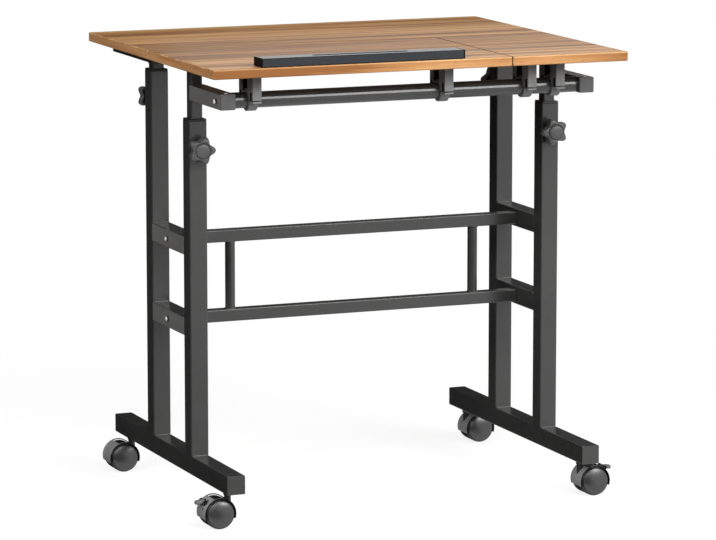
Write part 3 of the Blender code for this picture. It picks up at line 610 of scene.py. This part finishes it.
def clamp_upper():
    """Upper half of a clamp from the pivot axis; its pocket and screw channels are slot 1, painted near-black
    as shade.
    """
    bore = BAR + FIT
    top = UNDERSIDE - PIVOT_Z - FIT
    outline = arc((0, 0), bore, math.pi - math.asin(CLAMP_GAP / bore), CLAMP_JOINT_ANGLE, 40)
    outline += [Vector((CLAMP_TAIL, CLAMP_JOINT)), Vector((CLAMP_TAIL, top)), Vector((-CLAMP_NOSE, top)),
                Vector((-CLAMP_NOSE, CLAMP_GAP))]
    block = bevelled(moved(prism(outline, CLAMP_WIDTH), UPRIGHT), 0.0007, 50)
    pocket_y, pocket_floor = 0.003, 0.0140
    pocket = moved(prism(rounded(0.020, 0.030, 0.0012, 4), 0.022), UPRIGHT,
                   shift(-CLAMP_WIDTH / 2, pocket_y, pocket_floor + 0.015))
    half, channel_top = 0.00425, 0.015
    channels = []
    for y in SCREW_Y:
        shape = arc((y, channel_top - half), half, 0, math.pi, 16)
        shape += [Vector((y - half, -0.004)), Vector((y + half, -0.004))]
        channels.append(moved(prism(shape, 0.017), UPRIGHT, shift(-0.010, 0, 0)))
    block = carved(block, pocket, *channels)
    for face in block.polygons:
        x, y, z = face.center
        in_pocket = abs(y - pocket_y) < 0.0102 and pocket_floor - 0.0002 < z < top - 0.0005
        beside = min(abs(y - place) for place in SCREW_Y) < half + 0.0001
        in_channel = beside and 0.0018 < z < channel_top + 0.0002
        face.material_index = 1 if -0.0070 < x < 0.0040 and (in_pocket or in_channel) else 0
    chevron = [Vector((-0.0065, 0)), Vector((-0.0038, 0)), Vector((0, 0.0017)), Vector((0.0038, 0)),
               Vector((0.0065, 0)), Vector((0.0010, 0.0036)), Vector((-0.0010, 0.0036))]
    rib = moved(prism(chevron, 0.004), UPRIGHT, shift(-0.005, pocket_y, pocket_floor - 0.0002))
    return together(block, rib)


def clamp_lower():
    """Lower half of a clamp: a half ring under the bar with a flange at the front and the back."""
    bore = BAR + FIT
    outer = bore + SADDLE_WALL
    dip = math.asin(FLANGE / outer)
    outline = [Vector((-CLAMP_NOSE, -CLAMP_JOINT)), Vector((-CLAMP_NOSE, -FLANGE))]
    outline += arc((0, 0), outer, math.pi + dip, 2 * math.pi - dip, 40)
    outline += [Vector((CLAMP_TAIL, -FLANGE)), Vector((CLAMP_TAIL, -CLAMP_JOINT))]
    outline += arc((0, 0), bore, 2 * math.pi - CLAMP_JOINT_ANGLE, math.pi + CLAMP_JOINT_ANGLE, 40)
    return bevelled(moved(prism(outline, CLAMP_WIDTH), UPRIGHT), 0.0006, 50)


def add_clamps():
    upper = clamp_upper()
    lower = clamp_lower()
    for name, x in CLAMP_X.items():
        body = PANEL_BODY[name.split("_")[0]]
        place = shift(x, PIVOT_Y, PIVOT_Z)
        piece(f"clamp_upper_{name}", moved(upper.copy(), place), [CLAMP_FINISH, SHADE_BLACK], body,
              [f"clamp_block_{name}"])
        piece(f"clamp_lower_{name}", moved(lower.copy(), place), [CLAMP_FINISH], body,
              [f"clamp_saddle_{name}"])


# Guide sleeves and arm caps

def add_sleeves():
    body = rounded(0.0264, 0.0264, 0.0012)
    bore = rounded(0.0206, 0.0206, 0.0030)
    lead = rounded(0.0216, 0.0216, 0.0034)
    rings = [(body, -SLEEVE_DEPTH), (body, 0.0)]
    for inset, height in ((0.0004, 0), (0, 0.0004), (0, 0.0022), (0.0003, 0.0027), (0.0008, RIM)):
        width = 2 * (POST_HALF - inset)
        rings.append((rounded(width, width, 0.0026), height))
    rings += [(lead, RIM), (bore, 0.0022), (bore, -SLEEVE_DEPTH)]
    mesh = loft(rings, hollow=True)
    for end, y in ENDS.items():
        for side, x in SIDES.items():
            place = shift(x * POST_X, y * POST_Y, RIM_TOP[end] - RIM)
            piece(f"guide_collar_{end}_{side}", moved(mesh.copy(), place), [BLACK], "base",
                  [f"sleeve_{end}_{side}"])


def add_arm_caps():
    plug = rounded(0.0214, 0.0214, 0.0010)
    rings = []
    for inset, height in ((0.0016, 0), (0.0007, 0.0003), (0.0002, 0.0008), (0, 0.0014), (0, 0.0025)):
        width = 2 * (ARM_HALF - inset)
        rings.append((rounded(width, width, 0.0022), height))
    rings += [(plug, 0.0025), (plug, 0.0125)]
    mesh = moved(loft(rings), spin(-90, "X"))
    for side, x in SIDES.items():
        place = shift(x * POST_X, PIVOT_Y - ARM_NOSE, PIVOT_Z)
        piece(f"arm_plug_{side}", moved(mesh.copy(), place), [CAP_FINISH], "front_lift", [f"arm_cap_{side}"])


# Knobs

def knob():
    """Star knob along +Z from the post's face: neck, lobes, a groove and a domed hub; the back, with the
    neck, is slot 1, painted near-black as shade.
    """
    profile = [  # height, radius and depth of the valleys in millimetres
        (-4.7, 4.0, 0), (0.3, 4.0, 0), (0.3, 8.1, 0), (0.7, 8.5, 0), (8.6, 8.5, 0), (9.3, 9.2, 0.1),
        (9.5, 13.0, 2.0), (9.6, 18.0, 4.8), (9.8, 20.6, 5.9), (10.3, 21.8, 6.3), (11.2, 22.5, 6.5),
        (19.6, 22.5, 6.5), (20.9, 22.2, 6.4), (22.0, 21.4, 5.9), (22.8, 20.3, 5.2), (23.4, 19.0, 4.3),
        (23.8, 17.4, 3.1), (24.0, 15.6, 1.8), (24.0, 14.0, 0.7), (23.7, 13.0, 0.1), (22.9, 12.6, 0),
        (23.3, 12.2, 0), (24.3, 12.0, 0), (25.4, 11.6, 0), (26.3, 10.8, 0), (26.8, 9.6, 0), (27.2, 7.8, 0),
        (27.45, 5.0, 0), (27.5, 2.0, 0),
    ]
    mesh = loft([(star(radius / 1000, valley / 1000), height / 1000) for height, radius, valley in profile])
    for face in mesh.polygons:
        face.material_index = 1 if face.center.z < 0.0097 else 0
    return mesh


def add_knobs():
    for end, y in ENDS.items():
        for side, x in SIDES.items():
            name = f"{end}_{side}"
            turned = moved(knob(), spin(KNOB_TURN[name], "Z"), spin(90, "X"), spin(0 if y < 0 else 180, "Z"))
            place = shift(x * POST_X, y * (POST_Y + POST_HALF), RIM_TOP[end] - KNOB_DROP)
            piece(f"star_knob_{name}", moved(turned, place), [KNOB_FINISH, SHADE_BLACK], f"clamp_knob_{name}",
                  [f"knob_{name}"], 50)


# Casters, drawn from the stem at floor level, trailing to -X

AT_AXLE = shift(-TRAIL, 0, WHEEL)


def tube_between(radius, start, end, axis, count):
    """Round bar along +Z between two heights, turned by a matrix."""
    ring = circle(radius, count)
    return moved(loft([(ring, min(start, end)), (ring, max(start, end))]), axis)


def caster_shell(braked):
    """Hood with its stem; the curved outer skin is slot 0, a pale copy of the moulding as painted sheen, the
    flat sides and everything inside are slot 1, painted shade, and the stem is slot 2.
    """
    def half_disc(inset):
        return arc((0, 0), HOOD_OUT - inset, -HOOD_DIP, math.pi + HOOD_DIP, 72)
    hood = moved(eased_prism(half_disc, HOOD_WIDTH, 0.0006), spin(90, "X"), AT_AXLE)
    spaces = []
    openings = [bevelled(box((-0.0280, -0.0182, 0.0412), (-0.0065, 0.0182, CASTER_TOP)), 0.0012)]
    for sign in (-1, 1):
        space = tube_between(HOOD_IN, sign * WEB_HALF, sign * HOOD_WIDTH, spin(-90, "X"), 96)
        spaces.append(moved(space, AT_AXLE))
    stem = loft([(circle(radius, 48), height) for radius, height in (
        (0.0055, WHEEL), (0.0055, 0.0500), (0.0064, 0.0504), (0.0068, 0.0510), (0.0068, 0.0540),
        (0.0064, 0.0546), (0.0050, 0.0549), (0.0050, CASTER_TOP), (0.0045, CASTER_TOP), (0.0045, 0.078))])
    stem = carved(stem, *spaces)
    stem.polygons.foreach_set("material_index", [2] * len(stem.polygons))
    inside = [moved(tube_between(0.003, -0.015, 0.015, spin(-90, "X"), 32), AT_AXLE)]
    if braked:
        at_slot = AT_AXLE @ Matrix.Rotation(LEVER_ANGLE, 4, "Y")
        for sign in (-1, 1):
            near, far = sorted((sign * WEB_HALF, sign * LEVER_HUB_HALF))
            openings.append(moved(box((-0.05, near, -0.0060), (-0.0125, far, 0.0060)), at_slot))
            ear = tube_between(0.0034, sign * 0.0090, sign * 0.0112, spin(-90, "X"), 40)
            inside.append(moved(ear, lever_place()))
        hole = moved(tube_between(0.0022, -0.035, -0.0236, spin(90, "Y"), 24), shift(0, -0.0062, 0))
        openings.append(moved(hole, AT_AXLE @ Matrix.Rotation(math.radians(18), 4, "Y")))
    skin = carved(hood, *spaces, *openings)
    for face in skin.polygons:
        # Curved outer skin takes the painted sheen; the flat sides and the insides take painted shade
        reach = Vector((face.center.x + TRAIL, face.center.z - WHEEL)).length
        face.material_index = 0 if reach > HOOD_OUT - 0.0006 and abs(face.normal.y) < 0.6 else 1
    dark = together(*inside)
    dark.polygons.foreach_set("material_index", [1] * len(dark.polygons))
    return together(skin, dark, stem)


def lever_place():
    """From the stem at floor level to the brake lever's axis."""
    out, up = LEVER_REACH * math.cos(LEVER_ANGLE), LEVER_REACH * math.sin(LEVER_ANGLE)
    return shift(-TRAIL - out, 0, WHEEL + up)


def roller():
    """Domed wheel along +Z from the caster's middle; the tread and the groove round the dome are slot 1,
    near-black, which in the groove is painted shade.
    """
    # Heights and radii in millimetres
    tread = [(3.6, 3.3), (3.6, 21.4), (3.9, 22.6), (4.6, 23.5), (5.6, 23.95), (6.4, 24.0), (9.5, 24.0),
             (9.8, 23.7), (10.6, 23.7), (10.9, 24.0), (15.2, 24.0), (16.6, 23.95), (17.2, 23.85),
             (17.5, 23.7), (17.4, 23.5)]
    rim, edge, depth = 23.6, 17.6, 7.4
    groove = [(19.83, 22.5), (18.9, 22.35), (18.9, 21.5), (20.75, 21.35)]
    dome = [(edge, rim)]
    steps = 17
    for step in range(1, steps):
        radius = rim * math.cos(math.pi / 2 * step / steps)
        if groove[-1][1] < radius < groove[0][1]:
            dome += groove
        else:
            dome.append((edge + depth * math.sqrt(1 - (radius / rim) ** 2), radius))
    mesh = loft([(circle(radius / 1000), height / 1000) for height, radius in tread + dome])
    for face in mesh.polygons:
        across = math.hypot(face.center.x, face.center.y)
        in_groove = 0.0213 < across < 0.0225 and face.center.z < 0.0199
        face.material_index = 0 if face.center.z > 0.0175 and not in_groove else 1
    return mesh


def pedal():
    """Brake pedal from its own axis, reaching to -X: a dark hub with pins and a ribbed tongue."""
    hub = together(tube_between(0.0024, -LEVER_HUB_HALF, LEVER_HUB_HALF, spin(-90, "X"), 32),
                   tube_between(0.0012, -0.0110, 0.0110, spin(-90, "X"), 20))
    hub.polygons.foreach_set("material_index", [1] * len(hub.polygons))

    def outline(inset):
        tip = 0.0062 - inset
        points = arc((-0.0088, 0), tip, math.pi / 2, 1.5 * math.pi, 24)
        return points + [Vector((0.0012 - inset, -tip)), Vector((0.0012 - inset, tip))]
    pad = moved(eased_prism(outline, 0.0054, 0.0018, 4), shift(0, 0, 0.0002))

    def rib(inset):
        return rounded(0.0011 - 2 * inset, 0.0075 - 2 * inset, 0.0004)
    ribs = [moved(eased_prism(rib, 0.0008, 0.0002), shift(x, 0, 0.0030)) for x in (-0.0115, -0.0093, -0.0071)]
    return together(hub, moved(together(pad, *ribs), spin(-8, "Y")))


def add_casters():
    wheel = moved(roller(), spin(90, "X"))
    lever = pedal()
    for end, y in ENDS.items():
        shell = caster_shell(end == "front")
        for side, x in SIDES.items():
            place = shift(x * POST_X, y * STEM_Y, 0) @ spin(0 if x < 0 else 180, "Z")
            name = f"{end}_{side}"
            piece(f"caster_shell_{name}", moved(shell.copy(), place), [HOOD_PAINTED_SHEEN, SHADE_BLACK, BLACK],
                  f"caster_{name}", [f"caster_housing_{name}"], 32)
            axle = shift(x * (POST_X + TRAIL), y * STEM_Y, WHEEL)
            for face, sign in ENDS.items():
                turned = moved(wheel.copy(), spin(0 if sign < 0 else 180, "Z"), axle)
                piece(f"caster_roller_{name}_{face}", turned, [WHEEL_FINISH, SHADE_BLACK],
                      f"roller_{name}_{face}", [f"wheel_{name}_{face}"], 30)
            if end == "front":
                placed = moved(lever.copy(), place @ lever_place())
                piece(f"brake_pedal_{side}", placed, [PEDAL_FINISH, BLACK], f"brake_{side}",
                      [f"brake_lever_{side}"], 35)


# Weld beads

def bead(points, radius, looped=False):
    """Scalloped bead of weld along a run of points."""
    shape = bmesh.new()
    loops = []
    count = len(points)
    for index, point in enumerate(points):
        ahead = points[(index + 1) % count] if looped or index + 1 < count else point
        behind = points[index - 1] if looped or index else point
        along = (ahead - behind).normalized()
        side = along.cross(Vector((0, 0, 1)))
        side = side.normalized() if side.length > 0.1 else Vector((1, 0, 0))
        up = side.cross(along)
        reach = radius * (0.88 + 0.2 * abs(math.sin(index * 0.9)))
        if not looped and index in (0, count - 1):
            reach *= 0.45
        loops.append([shape.verts.new(point + reach * (math.cos(turn) * side + math.sin(turn) * up))
                      for turn in (2 * math.pi * step / BEAD_SIDES for step in range(BEAD_SIDES))])
    pairs = list(zip(loops, loops[1:]))
    if looped:
        pairs.append((loops[-1], loops[0]))
    else:
        shape.faces.new(loops[0])
        shape.faces.new(loops[-1])
    for low, high in pairs:
        for here in range(BEAD_SIDES):
            after = (here + 1) % BEAD_SIDES
            shape.faces.new((low[here], low[after], high[after], high[here]))
    return finished(shape)


def line(start, end):
    """Points of a straight bead, 0.7 mm apart."""
    start, end = Vector(start), Vector(end)
    count = max(2, int((end - start).length / 0.0007))
    return [start.lerp(end, step / count) for step in range(count + 1)]


def add_welds():
    beads = []
    for x in (-POST_X, POST_X):
        for y in (-POST_Y, POST_Y):
            for sign in (-1, 1):
                place = y + sign * (POST_HALF + WELD_OUT)
                run = line((x - WELD_HALF, place, FOOT_TOP), (x + WELD_HALF, place, FOOT_TOP))
                beads.append(bead(run, FOOT_BEAD))
        for z in RUNG_Z.values():
            for sign_y in (-1, 1):
                for sign_z in (-1, 1):
                    y = sign_y * (POST_Y - POST_HALF - WELD_OUT)
                    height = z + sign_z * (POST_HALF + WELD_OUT / 2)
                    run = line((x - WELD_HALF, y, height), (x + WELD_HALF, y, height))
                    beads.append(bead(run, RUNG_BEAD))
    for x in (-ROD_X, ROD_X):
        for height in (RUNG_Z["lower"] + 0.0102, RUNG_Z["upper"] - 0.0102):
            ring = [Vector((x + point.x, point.y, height)) for point in circle(0.0083, 72)]
            beads.append(bead(ring, RING_BEAD, looped=True))
    piece("weld_beads_base", together(*beads), [COAT], "base", [], 60)
    beads = []
    for x in (-POST_X, POST_X):
        for sign in (-1, 1):
            beside = x + sign * 0.0102
            run = line((beside, -0.0998, PIVOT_Z - 0.0115), (beside, -0.0998, PIVOT_Z + 0.0115))
            beads.append(bead(run, RUNG_BEAD))
            height = PIVOT_Z + sign * (ARM_HALF + WELD_OUT / 2)
            beads.append(bead(line((x - 0.0085, -0.1004, height), (x + 0.0085, -0.1004, height)), RUNG_BEAD))
    piece("weld_beads_front", together(*beads), [COAT], "front_lift", [], 60)
    for side, x in SIDES.items():
        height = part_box(f"rail_{side}")[0].z
        ring = rounded(0.0203, 0.0203, 0.0032, 5)
        path = []
        for here, point in enumerate(ring):
            after = ring[(here + 1) % len(ring)]
            steps = max(1, int((after - point).length / 0.0009))
            path += [point.lerp(after, step / steps) for step in range(steps)]
        path = [Vector((x * POST_X + point.x, POST_Y + point.y, height)) for point in path]
        piece(f"weld_bead_rear_{side}", bead(path, RING_BEAD, looped=True), [COAT], f"rear_lift_{side}", [],
              60)


# Bolts and screws, set out by geometry nodes

def hexagon(radius, count=24):
    """Six-sided outline with as many points as the rings round it."""
    points = []
    for step in range(count):
        angle = 2 * math.pi * step / count
        reach = radius * math.cos(math.pi / 6) / math.cos((angle % (math.pi / 3)) - math.pi / 6)
        points.append(Vector((reach * math.cos(angle), reach * math.sin(angle))))
    return points


def bolt_head():
    """Low button head along +Z with a small hexagon socket, its radius one unit."""
    head = ((1.0, -0.9), (1.0, 0.0), (0.97, 0.10), (0.88, 0.18), (0.70, 0.24))
    socket = ((0.36, 0.27), (0.34, 0.24), (0.33, 0.02))
    rings = [(circle(radius, 24), height) for radius, height in head]
    rings += [(hexagon(radius), height) for radius, height in socket]
    return loft(rings + [(circle(0.05, 24), -0.06)])


def fastener_nodes():
    """Node group that sets a head on each point, turned and scaled by the points' attributes."""
    group = bpy.data.node_groups.new("fasteners", "GeometryNodeTree")
    for name, kind, way in (("Points", "Geometry", "INPUT"), ("Head", "Object", "INPUT"),
                            ("Finish", "Material", "INPUT"), ("Geometry", "Geometry", "OUTPUT")):
        group.interface.new_socket(name, in_out=way, socket_type="NodeSocket" + kind)
    nodes = group.nodes
    given = nodes.new("NodeGroupInput")
    info = nodes.new("GeometryNodeObjectInfo")
    turn = nodes.new("GeometryNodeInputNamedAttribute")
    turn.data_type = "FLOAT_VECTOR"
    turn.inputs["Name"].default_value = "turn"
    size = nodes.new("GeometryNodeInputNamedAttribute")
    size.inputs["Name"].default_value = "size"
    copies = nodes.new("GeometryNodeInstanceOnPoints")
    real = nodes.new("GeometryNodeRealizeInstances")
    paint = nodes.new("GeometryNodeSetMaterial")
    result = nodes.new("NodeGroupOutput")
    link = group.links.new
    link(given.outputs["Points"], copies.inputs["Points"])
    link(given.outputs["Head"], info.inputs["Object"])
    link(info.outputs["Geometry"], copies.inputs["Instance"])
    link(turn.outputs["Attribute"], copies.inputs["Rotation"])
    link(size.outputs["Attribute"], copies.inputs["Scale"])
    link(copies.outputs["Instances"], real.inputs["Geometry"])
    link(real.outputs["Geometry"], paint.inputs["Geometry"])
    link(given.outputs["Finish"], paint.inputs["Material"])
    link(paint.outputs["Geometry"], result.inputs["Geometry"])
    return group


def set_out(name, rows, group, finish, body):
    """One mesh of fasteners for a body; each row gives a place, a direction and a head radius."""
    points = bpy.data.meshes.new(name)
    points.from_pydata([row[0] for row in rows], [], [])
    for key, kind in (("turn", "FLOAT_VECTOR"), ("size", "FLOAT")):
        points.attributes.new(key, kind, "POINT")
    for index, (_, direction, radius) in enumerate(rows):
        points.attributes["turn"].data[index].vector = Vector(direction).to_track_quat("Z", "Y").to_euler()
        points.attributes["size"].data[index].value = radius
    head = bpy.data.objects.new("head", bolt_head())
    scene.collection.objects.link(head)

    def setup(holder):
        modifier = holder.modifiers.new("fasteners", "NODES")
        modifier.node_group = group
        for item in group.interface.items_tree:
            if item.in_out == "INPUT" and item.name in ("Head", "Finish"):
                modifier[item.identifier] = head if item.name == "Head" else finish
        return [head]
    piece(name, evaluated(points, setup), [finish], body)


def add_fasteners():
    group = fastener_nodes()
    base = [((x * (POST_X + POST_HALF + BOLT_OUT), 0, z), (x, 0, 0), BOLT_HEAD)
            for x in (-1, 1) for z in RUNG_Z.values()]
    set_out("crossbar_bolts", base, group, ZINC, "base")
    front = [((x * (POST_X + ARM_HALF + BOLT_OUT), PIVOT_Y, PIVOT_Z), (x, 0, 0), BOLT_HEAD) for x in (-1, 1)]
    front += [((x * POST_X, PIVOT_Y - 0.0105, PIVOT_Z + ARM_HALF), (0, 0, 1), 0.0032) for x in (-1, 1)]
    set_out("arm_bolts", front, group, ZINC, "front_lift")
    section = ((0.0030, -0.0044), (0.0042, -0.0044), (0.0042, -0.0006), (0.0040, -0.0002), (0.0030, -0.0002))
    for body, rows in {"base": base, "front_lift": front[:2]}.items():
        rings = []
        for place, way, _ in rows:
            ring = loft([(circle(radius, 32), height) for radius, height in section], hollow=True)
            turn = Vector(way).to_track_quat("Z", "Y").to_matrix().to_4x4()
            rings.append(moved(ring, Matrix.Translation(place) @ turn))
        piece(f"bolt_collars_{body}", together(*rings), [BLACK], body)
    for panel, body in PANEL_BODY.items():
        rows = []
        for name, x in CLAMP_X.items():
            if name.startswith(panel):
                rows += [((x, PIVOT_Y + y, PIVOT_Z - FLANGE), (0, 0, -1), 0.0026) for y in SCREW_Y]
        set_out(f"clamp_screws_{panel}", rows, group, ZINC, body)
    for side, x in SIDES.items():
        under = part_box(f"rail_{side}")[0].z
        rows = [((x * POST_X, y, under), (0, 0, -1), 0.0036) for y in (0.135, 0.255)]
        set_out(f"rail_screws_{side}", rows, group, ZINC, f"rear_lift_{side}")


# Tubes

def tube_skin(node, finish, body, corner, wall=0.0):
    """Square tube with soft corners over a solid's own box; a wall makes it open at the ends. The finish goes
    on the side faces, and a paler coat there is painted light; faces that look up or down keep the plain
    coat."""
    low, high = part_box(node)
    size = high - low
    axis = max(range(3), key=lambda index: size[index])
    width, depth = ((size.y, size.z), (size.x, size.z), (size.x, size.y))[axis]
    half = size[axis] / 2

    def section(inset):
        return rounded(width - 2 * inset, depth - 2 * inset, max(corner - inset, 0.0004), 3)
    rings = [(section(TUBE_EASE), -half), (section(0), TUBE_EASE - half), (section(0), half - TUBE_EASE),
             (section(TUBE_EASE), half)]
    if wall:
        rings += [(section(wall), half), (section(wall), -half)]
    turn = (UPRIGHT, spin(-90, "X"), Matrix.Identity(4))[axis]
    mesh = moved(loft(rings, hollow=bool(wall)), turn, Matrix.Translation((low + high) / 2))
    for face in mesh.polygons:
        face.material_index = 1 if abs(face.normal.z) > 0.7 else 0
    piece(f"coated_{node}", mesh, [finish, COAT], body, [node])


def add_tubes():
    for side in SIDES:
        # The left rungs and the left arm take the paler coat on their sides, which is painted light
        rung_finish = PAINTED_LIGHT_COAT if side == "left" else COAT
        tube_skin(f"foot_{side}", COAT, "base", 0.0016)
        for end in ENDS:
            tube_skin(f"post_{end}_{side}", COAT, "base", 0.0020, 0.0015)
        for place in RUNG_Z:
            tube_skin(f"rung_{place}_{side}", rung_finish, "base", 0.0018)
        tube_skin(f"inner_tube_front_{side}", COAT, "front_lift", 0.0024)
        tube_skin(f"arm_{side}", rung_finish, "front_lift", 0.0016, 0.0015)
        tube_skin(f"inner_tube_rear_{side}", COAT, f"rear_lift_{side}", 0.0024)
        tube_skin(f"rail_{side}", COAT, f"rear_lift_{side}", 0.0014)
    for place in RUNG_Z:
        tube_skin(f"crossbar_{place}", COAT, "base", 0.0016)
    for name in ("pivot_bar", "rod_left", "rod_right"):
        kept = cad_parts[name].data.materials
        kept.clear()
        kept.append(ROUND_COAT)


# Stage, light and camera

def seen_white(tree):
    """One for rays from the camera, reflections and clear pieces, nought for rays that light the scene."""
    path = put(tree, "LightPath")
    total = maths(tree, "ADD", path.outputs["Is Camera Ray"], path.outputs["Is Glossy Ray"])
    total = maths(tree, "ADD", total, path.outputs["Is Transmission Ray"])
    return maths(tree, "MINIMUM", total, 1.0)


def add_stage():
    """Floor that keeps the shadow near the desk and fades to white, and a white world."""
    made = bpy.data.materials.new("pale_floor")
    made.use_nodes = True
    tree = made.node_tree
    tree.nodes.clear()
    lit = put(tree, "BsdfDiffuse", {"Color": (0.26, 0.26, 0.26, 1)})
    glow = put(tree, "Emission", {"Color": (1, 1, 1, 1), "Strength": 0.81})
    shown = put(tree, "AddShader", {0: lit.outputs[0], 1: glow.outputs[0]})
    bright = put(tree, "Emission", {"Color": (1, 1, 1, 1), "Strength": 1.0})
    away = put(tree, "VectorMath", {0: coords(tree)}, operation="LENGTH").outputs["Value"]
    fade = level(tree, away, 0.7, 1.5, 0.0, 1.0)
    shown = put(tree, "MixShader", {0: fade, 1: shown.outputs[0], 2: bright.outputs[0]})
    plain = put(tree, "BsdfDiffuse", {"Color": (0.25, 0.25, 0.25, 1)})
    both = put(tree, "MixShader", {0: seen_white(tree), 1: plain.outputs[0], 2: shown.outputs[0]})
    output = put(tree, "OutputMaterial")
    tree.links.new(both.outputs[0], output.inputs["Surface"])
    floor = bpy.data.objects.new("floor", bpy.data.meshes.new("floor"))
    reach, sunk = 14, -0.0002
    corners = [(x * reach, y * reach, sunk) for x, y in ((-1, -1), (1, -1), (1, 1), (-1, 1))]
    floor.data.from_pydata(corners, [], [(0, 1, 2, 3)])
    floor.data.materials.append(made)
    floor.visible_glossy = False
    scene.collection.objects.link(floor)
    world = bpy.data.worlds.new("studio")
    world.use_nodes = True
    scene.world = world
    tree = world.node_tree
    tree.nodes.clear()
    ambient = put(tree, "Background", {"Color": (1, 1, 1, 1), "Strength": 0.36})
    white = put(tree, "Background", {"Color": (1, 1, 1, 1), "Strength": 1.0})
    both = put(tree, "MixShader", {0: seen_white(tree), 1: ambient.outputs[0], 2: white.outputs[0]})
    tree.links.new(both.outputs[0], put(tree, "OutputWorld").inputs["Surface"])


def softbox(name, place, aim, width, height, power):
    light = bpy.data.lights.new(name, "AREA")
    light.shape = "RECTANGLE"
    light.size = width
    light.size_y = height
    light.energy = power
    made = bpy.data.objects.new(name, light)
    made.location = place
    made.rotation_euler = (Vector(aim) - Vector(place)).to_track_quat("-Z", "Y").to_euler()
    made.visible_camera = False
    scene.collection.objects.link(made)


def dark_card(name, corners):
    """Black studio card that only reflections see."""
    made, tree, skin = shader(name)
    feed(tree, skin, {"Base Color": (0.004, 0.004, 0.004, 1), "Roughness": 1.0, "Specular IOR Level": 0.0})
    card = bpy.data.objects.new(name, bpy.data.meshes.new(name))
    card.data.from_pydata(corners, [], [(0, 1, 2, 3)])
    card.data.materials.append(made)
    card.visible_camera = False
    card.visible_diffuse = False
    card.visible_shadow = False
    scene.collection.objects.link(card)


def add_light():
    for lamp in LAMPS:
        softbox(*lamp)
    for name, corners in CARDS.items():
        dark_card(name, corners)


def add_camera():
    data = bpy.data.cameras.new("camera")
    data.lens = CAMERA_LENS
    data.sensor_width = CAMERA_SENSOR
    camera = bpy.data.objects.new("camera", data)
    level_part = math.cos(CAMERA_PITCH)
    forward = Vector((math.sin(CAMERA_YAW) * level_part, math.cos(CAMERA_YAW) * level_part,
                      -math.sin(CAMERA_PITCH)))
    camera.location = CAMERA_PLACE
    camera.rotation_euler = forward.to_track_quat("-Z", "Y").to_euler()
    scene.collection.objects.link(camera)
    scene.camera = camera


add_camera()
add_tubes()
add_boards()
add_ledge()
add_clamps()
add_sleeves()
add_arm_caps()
add_knobs()
add_casters()
add_welds()
add_fasteners()
add_stage()
add_light()
